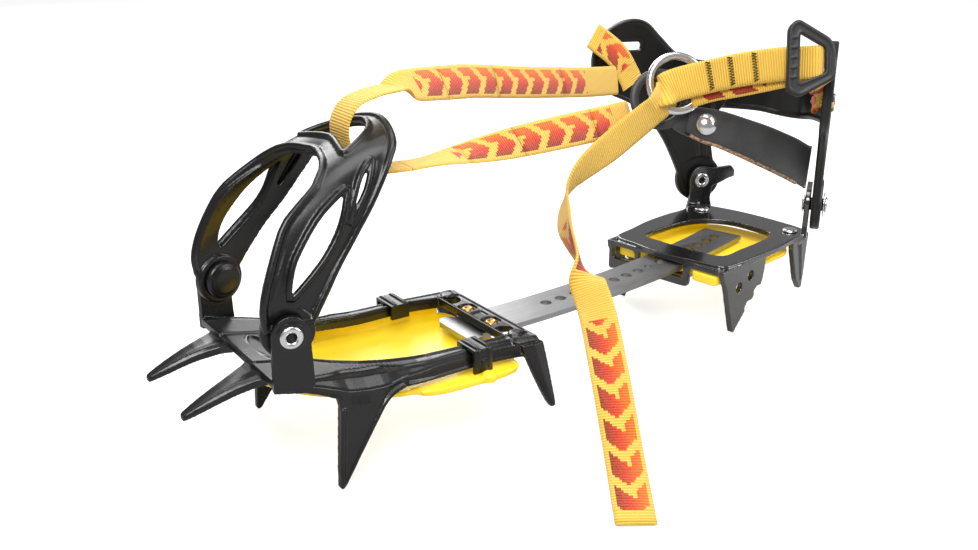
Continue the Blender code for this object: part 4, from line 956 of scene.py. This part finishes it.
def strip(path, widths, width=15.5, thickness=1.3, narrow=1.0, steps=10):
    """Cross sections of a webbing run: list of (length so far, ring of points, ring of v).

    widths are the directions across the webbing, one for each point of the path, and narrow is the
    share of the width that is left at the far end."""
    centre, wide = smooth_path(path, steps), smooth_path(widths, steps)
    rings, length = [], 0.0
    for i, c in enumerate(centre):
        half = width * (1 + (narrow - 1) * i / (len(centre) - 1)) / 2
        if i:
            length += (c - centre[i - 1]).length
        ahead = (centre[min(i + 1, len(centre) - 1)] - centre[max(i - 1, 0)]).normalized()
        w = (wide[i] - ahead * wide[i].dot(ahead)).normalized()
        t = ahead.cross(w).normalized()
        ring = []
        for face in (-1, 1):
            for k in range(ACROSS + 1):
                v = (2 * k / ACROSS - 1) * -face
                round_off = max(0.0, 1 - (1 - abs(v)) * half / (thickness * 0.6)) ** 2
                sag = 0.25 * (1 - v * v)
                rise = face * thickness / 2 * (1 - 0.75 * round_off) + sag - 0.12
                ring.append((c + w * v * half + t * rise, v * half))
        rings.append((length, [p for p, _ in ring], [v for _, v in ring]))
    return rings


def strap(name, rings, printed=()):
    """A mesh from consecutive cross sections. printed is a list of length ranges that carry the pattern."""
    n = len(rings[0][1])
    verts = [p for _, ring, _ in rings for p in ring]
    faces = grid_faces(len(rings), n, True)
    caps = [tuple(range(n - 1, -1, -1)), tuple((len(rings) - 1) * n + i for i in range(n))]
    obj = new_object(name, verts, faces + caps, [WEB_PLAIN, WEB_PRINT])
    uv = obj.data.uv_layers.new(name="UVMap")
    for poly in obj.data.polygons:
        rows = {obj.data.loops[i].vertex_index // n for i in poly.loop_indices}
        middle = sum(rings[r][0] for r in rows) / len(rows)
        here = [a for a, b in printed if a <= middle <= b]
        start = here[0] if here else 0
        poly.material_index = 1 if here else 0
        poly.use_smooth = True
        for i in poly.loop_indices:
            v = obj.data.loops[i].vertex_index
            uv.data[i].uv = ((rings[v // n][0] - start) / 100, rings[v // n][2][v % n] / 100)
    return obj


def cut_rings(rings, a, b):
    """The cross sections from length a to length b, both ends included."""
    return [r for r in rings if a - 1e-6 <= r[0] <= b + 1e-6]


def length_at(rings, steps, index):
    """The length at a control point; index may fall between two points."""
    return rings[min(len(rings) - 1, int(round(index * steps)))][0]


def middle_of(ring):
    return sum((Vector(p) for p in ring), Vector()) / len(ring)


TOE_FOLD = [(70, 4.4, 140.2), (57, 1, 139.8), (47.5, 0, 137), (42.8, 0, 130), (43.6, 0, 121),
            (48.5, 0, 113.8), (56, 0, 110.2), (70, 0, 109.2)]
UPPER_RUN = [(70, 4.4, 140.2), (79, 8, 139.4), (99, 15, 137.2), (120, 23, 134.6), (157, 38, 128),
             (193.6, 51, 122.2), (218, 60, 118.4), (238, 66.3, 116.0), (246.5, 68.8, 115.0)]
LOWER_RUN = [(70, 0, 109.2), (83, 0, 109.2), (114, 0, 110.4), (141, 0, 111.6), (171, 1, 112.4),
             (196, 3.2, 112.8)]
TAIL = [(212.0, -4.6, 123.6), (203.5, -7.6, 118.6), (196.7, -6.6, 114), (178, -6, 104.2), (157.5, -7, 94.5),
        (148, -8, 84.2), (140.2, -18, 75.7), (135, -34, 65.1), (131, -46, 55.9), (126, -58, 47.8),
        (112, -83, 30.4), (101, -103, 13.6), (88, -124, 1.6)]
SIDE_ON = (0, 1, 0)
UPPER_WIDE = [(0.2, 1, 0.0), (-0.1, 0.7, 0.7), (0.1, 0.6, 0.8), (0.1, 0.5, 0.85), (0.1, 0.45, 0.9),
              (0.15, 0.4, 0.9), (0.2, 0.35, 0.9), (0.3, 0.3, 0.9), (0.3, 0.3, 0.9)]
LOWER_WIDE = [SIDE_ON, SIDE_ON, (0, 0.8, 0.5), (0, 0.6, 0.75), (-0.1, 0.45, 0.85), (-0.1, 0.4, 0.9)]
TAIL_WIDE = [(0.6, -0.2, -0.7), (0.65, 0, -0.65), (0.75, 0, -0.6), (0.8, 0, -0.55), (0.75, 0.3, -0.5),
             (0.5, 0.7, -0.4), (0.3, 0.9, -0.2), (0.5, 0.8, -0.1), (0.7, -0.1, 0.5), (0.85, -0.4, 0.3),
             (0.9, -0.4, 0.1), (0.9, -0.4, 0), (0.9, -0.4, 0)]


def run(prefix, path, widths, joints, printed, node, steps=10):
    """Cut one continuous webbing run where it passes from one moving body to the next.

    joints is a list of (first control point, last control point, body a, body b), and printed is a
    list of (first, last) control points."""
    rings = strip(path, widths, steps=steps)
    spans = [(length_at(rings, steps, a), length_at(rings, steps, b)) for a, b in printed]
    for k, (first, last, a, b) in enumerate(joints):
        start, end = length_at(rings, steps, first), length_at(rings, steps, last)
        obj = strap(prefix + "_" + "abcd"[k], cut_rings(rings, start, end), spans)
        if a == b:
            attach(obj, a)
        else:
            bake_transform(obj)
        if k == 0:
            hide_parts(node)


run("fold", TOE_FOLD, [(0.2, 1, 0)] + [SIDE_ON] * 7, [(0, 7, "toe_hood", "toe_hood")], [], "strap_toe_fold")
run("upper", UPPER_RUN, UPPER_WIDE,
    [(0, 2, "toe_hood", "front"), (2, 3.5, "front", "bar"), (3.5, 5, "bar", "heel"), (5, 8, "heel", "ankle")],
    [(1.2, 5.9)], "strap_upper")
run("lower", LOWER_RUN, LOWER_WIDE,
    [(0, 1.5, "toe_hood", "front"), (1.5, 2.5, "front", "bar"), (2.5, 4, "bar", "heel"),
     (4, 5, "heel", "ankle")],
    [(1.35, 4.5)], "strap_lower")
run("tail", TAIL, TAIL_WIDE, [(0, 5, "ankle", "heel"), (5, 12, "heel", "heel")], [(6.0, 7.4), (9.0, 11.8)],
    "strap_tail")


TACKS = (0.53, 0.62, 0.72)          # where the bar-tacks sit, as shares of the webbing's length
LIFT = 0.42                         # from the mesh surface to the middle of a sewing thread
WEB_UP = (0.16, 0.32, 0.93)


def web_faces(rings, share):
    """The index of a cross section, and for each face its points, their v and the outward direction."""
    index = int(share * (len(rings) - 1))
    _, ring, v = rings[index]
    half, faces = len(ring) // 2, {}
    for word, part in (("near", slice(0, half)), ("far", slice(half, None))):
        outward = (middle_of(ring[part]) - middle_of(ring)).normalized()
        faces[word] = ring[part], v[part], outward
    return index, faces


def bar_tack(rings, share, letter):
    index, faces = web_faces(rings, share)
    ahead = (rings[index + 1][1][0] - rings[index][1][0]).normalized()
    for word, (points, v, outward) in faces.items():
        inner = [p for p, q in zip(points, v) if abs(q) < 6.6]
        zigzag = [p + ahead * (1.05 if i % 2 else -1.05) + outward * LIFT
                  for i, p in enumerate(between(inner[0], inner[-1], 20))]
        put(tube("bar_tack_%s_%s" % (word, letter), zigzag, 0.33, THREAD, sides=6), "ankle", "webbing")


def stitch_line(rings, word):
    """The seam that joins the lower ends of the bar-tacks."""
    line = []
    for j in range(9):
        _, faces = web_faces(rings, TACKS[0] + (TACKS[2] - TACKS[0]) * j / 8)
        points, _, outward = faces[word]
        low = min(points, key=lambda p: p.z)
        line.append(low.lerp(middle_of(points), 0.24) + outward * LIFT)
    put(tube("stitch_line_" + word, smooth_path(line, 4), 0.26, THREAD, sides=6), "ankle", "webbing")


def sewn_webbing():
    """The doubled, sewn end of the ankle webbing: it folds over the moulded ring and runs to the slider."""
    path = [(206.5, -3.8, 123.0), (207.6, -6.4, 125.2), (213, -9.0, 127.8), (223.8, -17.4, 131.5),
            (233, -30.6, 135.9)]
    path += [SLIDER @ Vector(p) for p in ((-12.0, -2.0, -5.1), (-8.0, -2.0, -5.7))]
    rings = strip(path, [(0.5, 0.3, 0.75), (0.35, 0.33, 0.85)] + [WEB_UP] * 5, thickness=2.2)
    put(strap("sewn_webbing_look", rings), "ankle", "webbing", "sewn_webbing")
    for share, letter in zip(TACKS, "abc"):
        bar_tack(rings, share, letter)
    for word in WORDS.values():
        stitch_line(rings, word)


def strap_end():
    """The free end that stands up inside the far wing."""
    path = [(258.5, 68.6, 111.5), (256.3, 69.6, 116.5), (249, 72.2, 128.0), (236, 77.4, 139.0)]
    rings = strip(path, [(0.75, 0.1, 0.6)] * 4)
    put(strap("strap_end_look", rings, [(rings[14][0], rings[27][0])]), "ankle", "webbing", "strap_end")


def webbing_return():
    """The webbing goes round the slider's bar and comes back under itself."""
    local = [(-8, -2.0, -3.9), (-4.5, -2.0, -2.8), (-0.5, -2.0, -0.2), (2.6, -1.9, 0.9), (4.9, -1.9, 0.0),
             (5.4, -2, -2.2), (3.4, -2.2, -4.4), (-2, -3.0, -6.0), (-9, -5, -7.0)]
    path = [SLIDER @ Vector(p) for p in local]
    path += [(233.5, -29.5, 130.2), (226, -18.0, 126.6), (219, -11.5, 123.4)]
    up = SLIDER.to_3x3() @ Vector((0, 1, 0))
    rings = strip(path, [up] * len(local) + [WEB_UP] * 3, width=15.3, narrow=0.9)
    total = rings[-1][0]
    put(strap("webbing_return", rings, [(total - 34, total - 6)]), "ankle", "webbing")


def wing_loop():
    """The loop that ties the slider to the near wing's slot."""
    place = wing(-1)
    path = [place @ Vector((50.5, 63.5, z)) for z in (6.2, 1.0, -3.0)]
    path += [SLIDER @ Vector(p) for p in ((7.6, -9.5, -3.4), (6.4, -7.0, -2.4))]
    widths = [place.to_3x3() @ Vector((1, 0, 0))] * 3 + [SLIDER.to_3x3() @ Vector((0.8, 0.6, 0))] * 2
    rings = strip(path, widths, width=11.5, thickness=1.2, narrow=0.6, steps=8)
    put(strap("wing_loop", rings, [(2, 30)]), "ankle", "webbing")


def ankle_band():
    """Rubberised band under the ring plate, with raw edges where it was cut."""
    path = [(-8.5, 2.8, 0), (0, 0, 0), (9, -2.6, -0.6), (30, -9, -8.5), (50, -14.6, -20.5), (66, -19, -33.5)]
    wide = [(1, 7.2, 0), (1.2, 8.2, 0), (1.6, 8.6, 0), (2, 9.8, 0), (2.2, 10.6, 0), (2.2, 11.0, 0)]
    centre, across = smooth_path(path, 10), smooth_path(wide, 10)
    sections, low = [], []
    for i, c in enumerate(centre):
        ahead = (centre[min(i + 1, len(centre) - 1)] - centre[max(i - 1, 0)]).normalized()
        w = across[i] - ahead * across[i].dot(ahead)
        if i < 8:
            w *= 0.82 + 0.18 * math.sin(i / 8 * math.pi / 2)
        t = ahead.cross(w).normalized()
        wave = 0.22 * math.sin(i * 0.55)
        ring = []
        for face in (-1, 1):
            for k in range(15):
                v = (2 * k / 14 - 1) * -face
                edge = 0.25 if abs(v) > 0.97 else 1.0
                ring.append(c + w * v * 0.985 + t * (face * 0.75 * edge + wave * math.cos(v * 2.2)))
        sections.append(ring)
        low.append(c - w * 0.985)
    put(loft("ankle_band_look", sections, BAND, RING), "ankle", "ankle_band_fabric", "ankle_band")
    end = [c + w * (2 * k / 24 - 1) + ahead * 0.2 for k in range(25)]
    for name, line in (("band_edge_low", low[3:46]), ("band_edge_rear", end)):
        put(tube(name, line, 0.85, RAW, RING, sides=8), "ankle", "ankle_band_fabric")


sewn_webbing()
strap_end()
webbing_return()
wing_loop()
ankle_band()


# ---------------- floor, light and camera
# name, place, point aimed at (all in metres), side of the square in metres, power in watts
LAMPS = (("key", (-0.75, -0.85, 1.25), (0.05, 0, 0.03), 0.7, 21),
         ("fill", (0.95, -0.75, 0.7), (0.1, 0, 0.05), 0.8, 9),
         ("back", (0.35, 1.2, 0.9), (0.05, 0, 0.05), 0.9, 16),
         ("top", (0.1, 0.05, 1.5), (0.1, 0, 0), 0.9, 12))


def floor():
    """Pale to the camera, darker to the object, so that it doesn't light the coated steel from below."""
    ground = -ORIGIN.z * MM - 0.0004
    bpy.ops.mesh.primitive_plane_add(size=8, location=(0, 0, ground))
    plane = bpy.context.object
    plane.name = "floor"
    n = Nodes("floor_look")
    seen = n.add("ShaderNodeLightPath").outputs["Is Camera Ray"]
    tone = n.mix(seen, (0.42, 0.42, 0.42, 1), (0.97, 0.97, 0.97, 1))
    plane.data.materials.append(n.set(Base_Color=tone, Roughness=0.7, Specular_IOR_Level=0.1))
    glow = n.add("ShaderNodeEmission", {"Color": (1, 1, 1, 1), "Strength": 1.35})
    share = n.math("MULTIPLY", seen, 0.55)
    both = n.add("ShaderNodeMixShader", {0: share, 1: n.bsdf.outputs[0], 2: glow.outputs[0]})
    n.tree.links.new(both.outputs[0], n.tree.nodes["Material Output"].inputs[0])


def backdrop():
    """White to the camera, a dim grey to the object."""
    world = bpy.data.worlds.new("studio")
    bpy.context.scene.world = world
    world.use_nodes = True
    tree = world.node_tree
    path = tree.nodes.new("ShaderNodeLightPath")
    scale = tree.nodes.new("ShaderNodeMapRange")
    scale.inputs["To Min"].default_value, scale.inputs["To Max"].default_value = 0.3, 1.05
    tree.links.new(path.outputs["Is Camera Ray"], scale.inputs["Value"])
    background = tree.nodes["Background"]
    background.inputs["Color"].default_value = (1, 1, 1, 1)
    tree.links.new(scale.outputs["Result"], background.inputs["Strength"])


def lamps():
    for name, place, target, size, power in LAMPS:
        data = bpy.data.lights.new(name, "AREA")
        data.size, data.energy = size, power
        lamp = bpy.data.objects.new(name, data)
        bpy.context.scene.collection.objects.link(lamp)
        lamp.location = place
        lamp.rotation_euler = (Vector(target) - Vector(place)).to_track_quat("-Z", "Y").to_euler()


def camera():
    data = bpy.data.cameras.new("camera")
    obj = bpy.data.objects.new("camera", data)
    bpy.context.scene.collection.objects.link(obj)
    obj.location = (-0.2339, -0.3407, 0.1757)
    obj.rotation_euler = (math.radians(68.91), 0, math.radians(-35.83))
    data.lens, data.sensor_width, data.shift_x, data.shift_y = 37.12, 36, -0.0078, 0.0013
    data.clip_start = 0.01
    bpy.context.scene.camera = obj


floor()
backdrop()
lamps()
camera()
bpy.context.scene.view_settings.view_transform = "Standard"
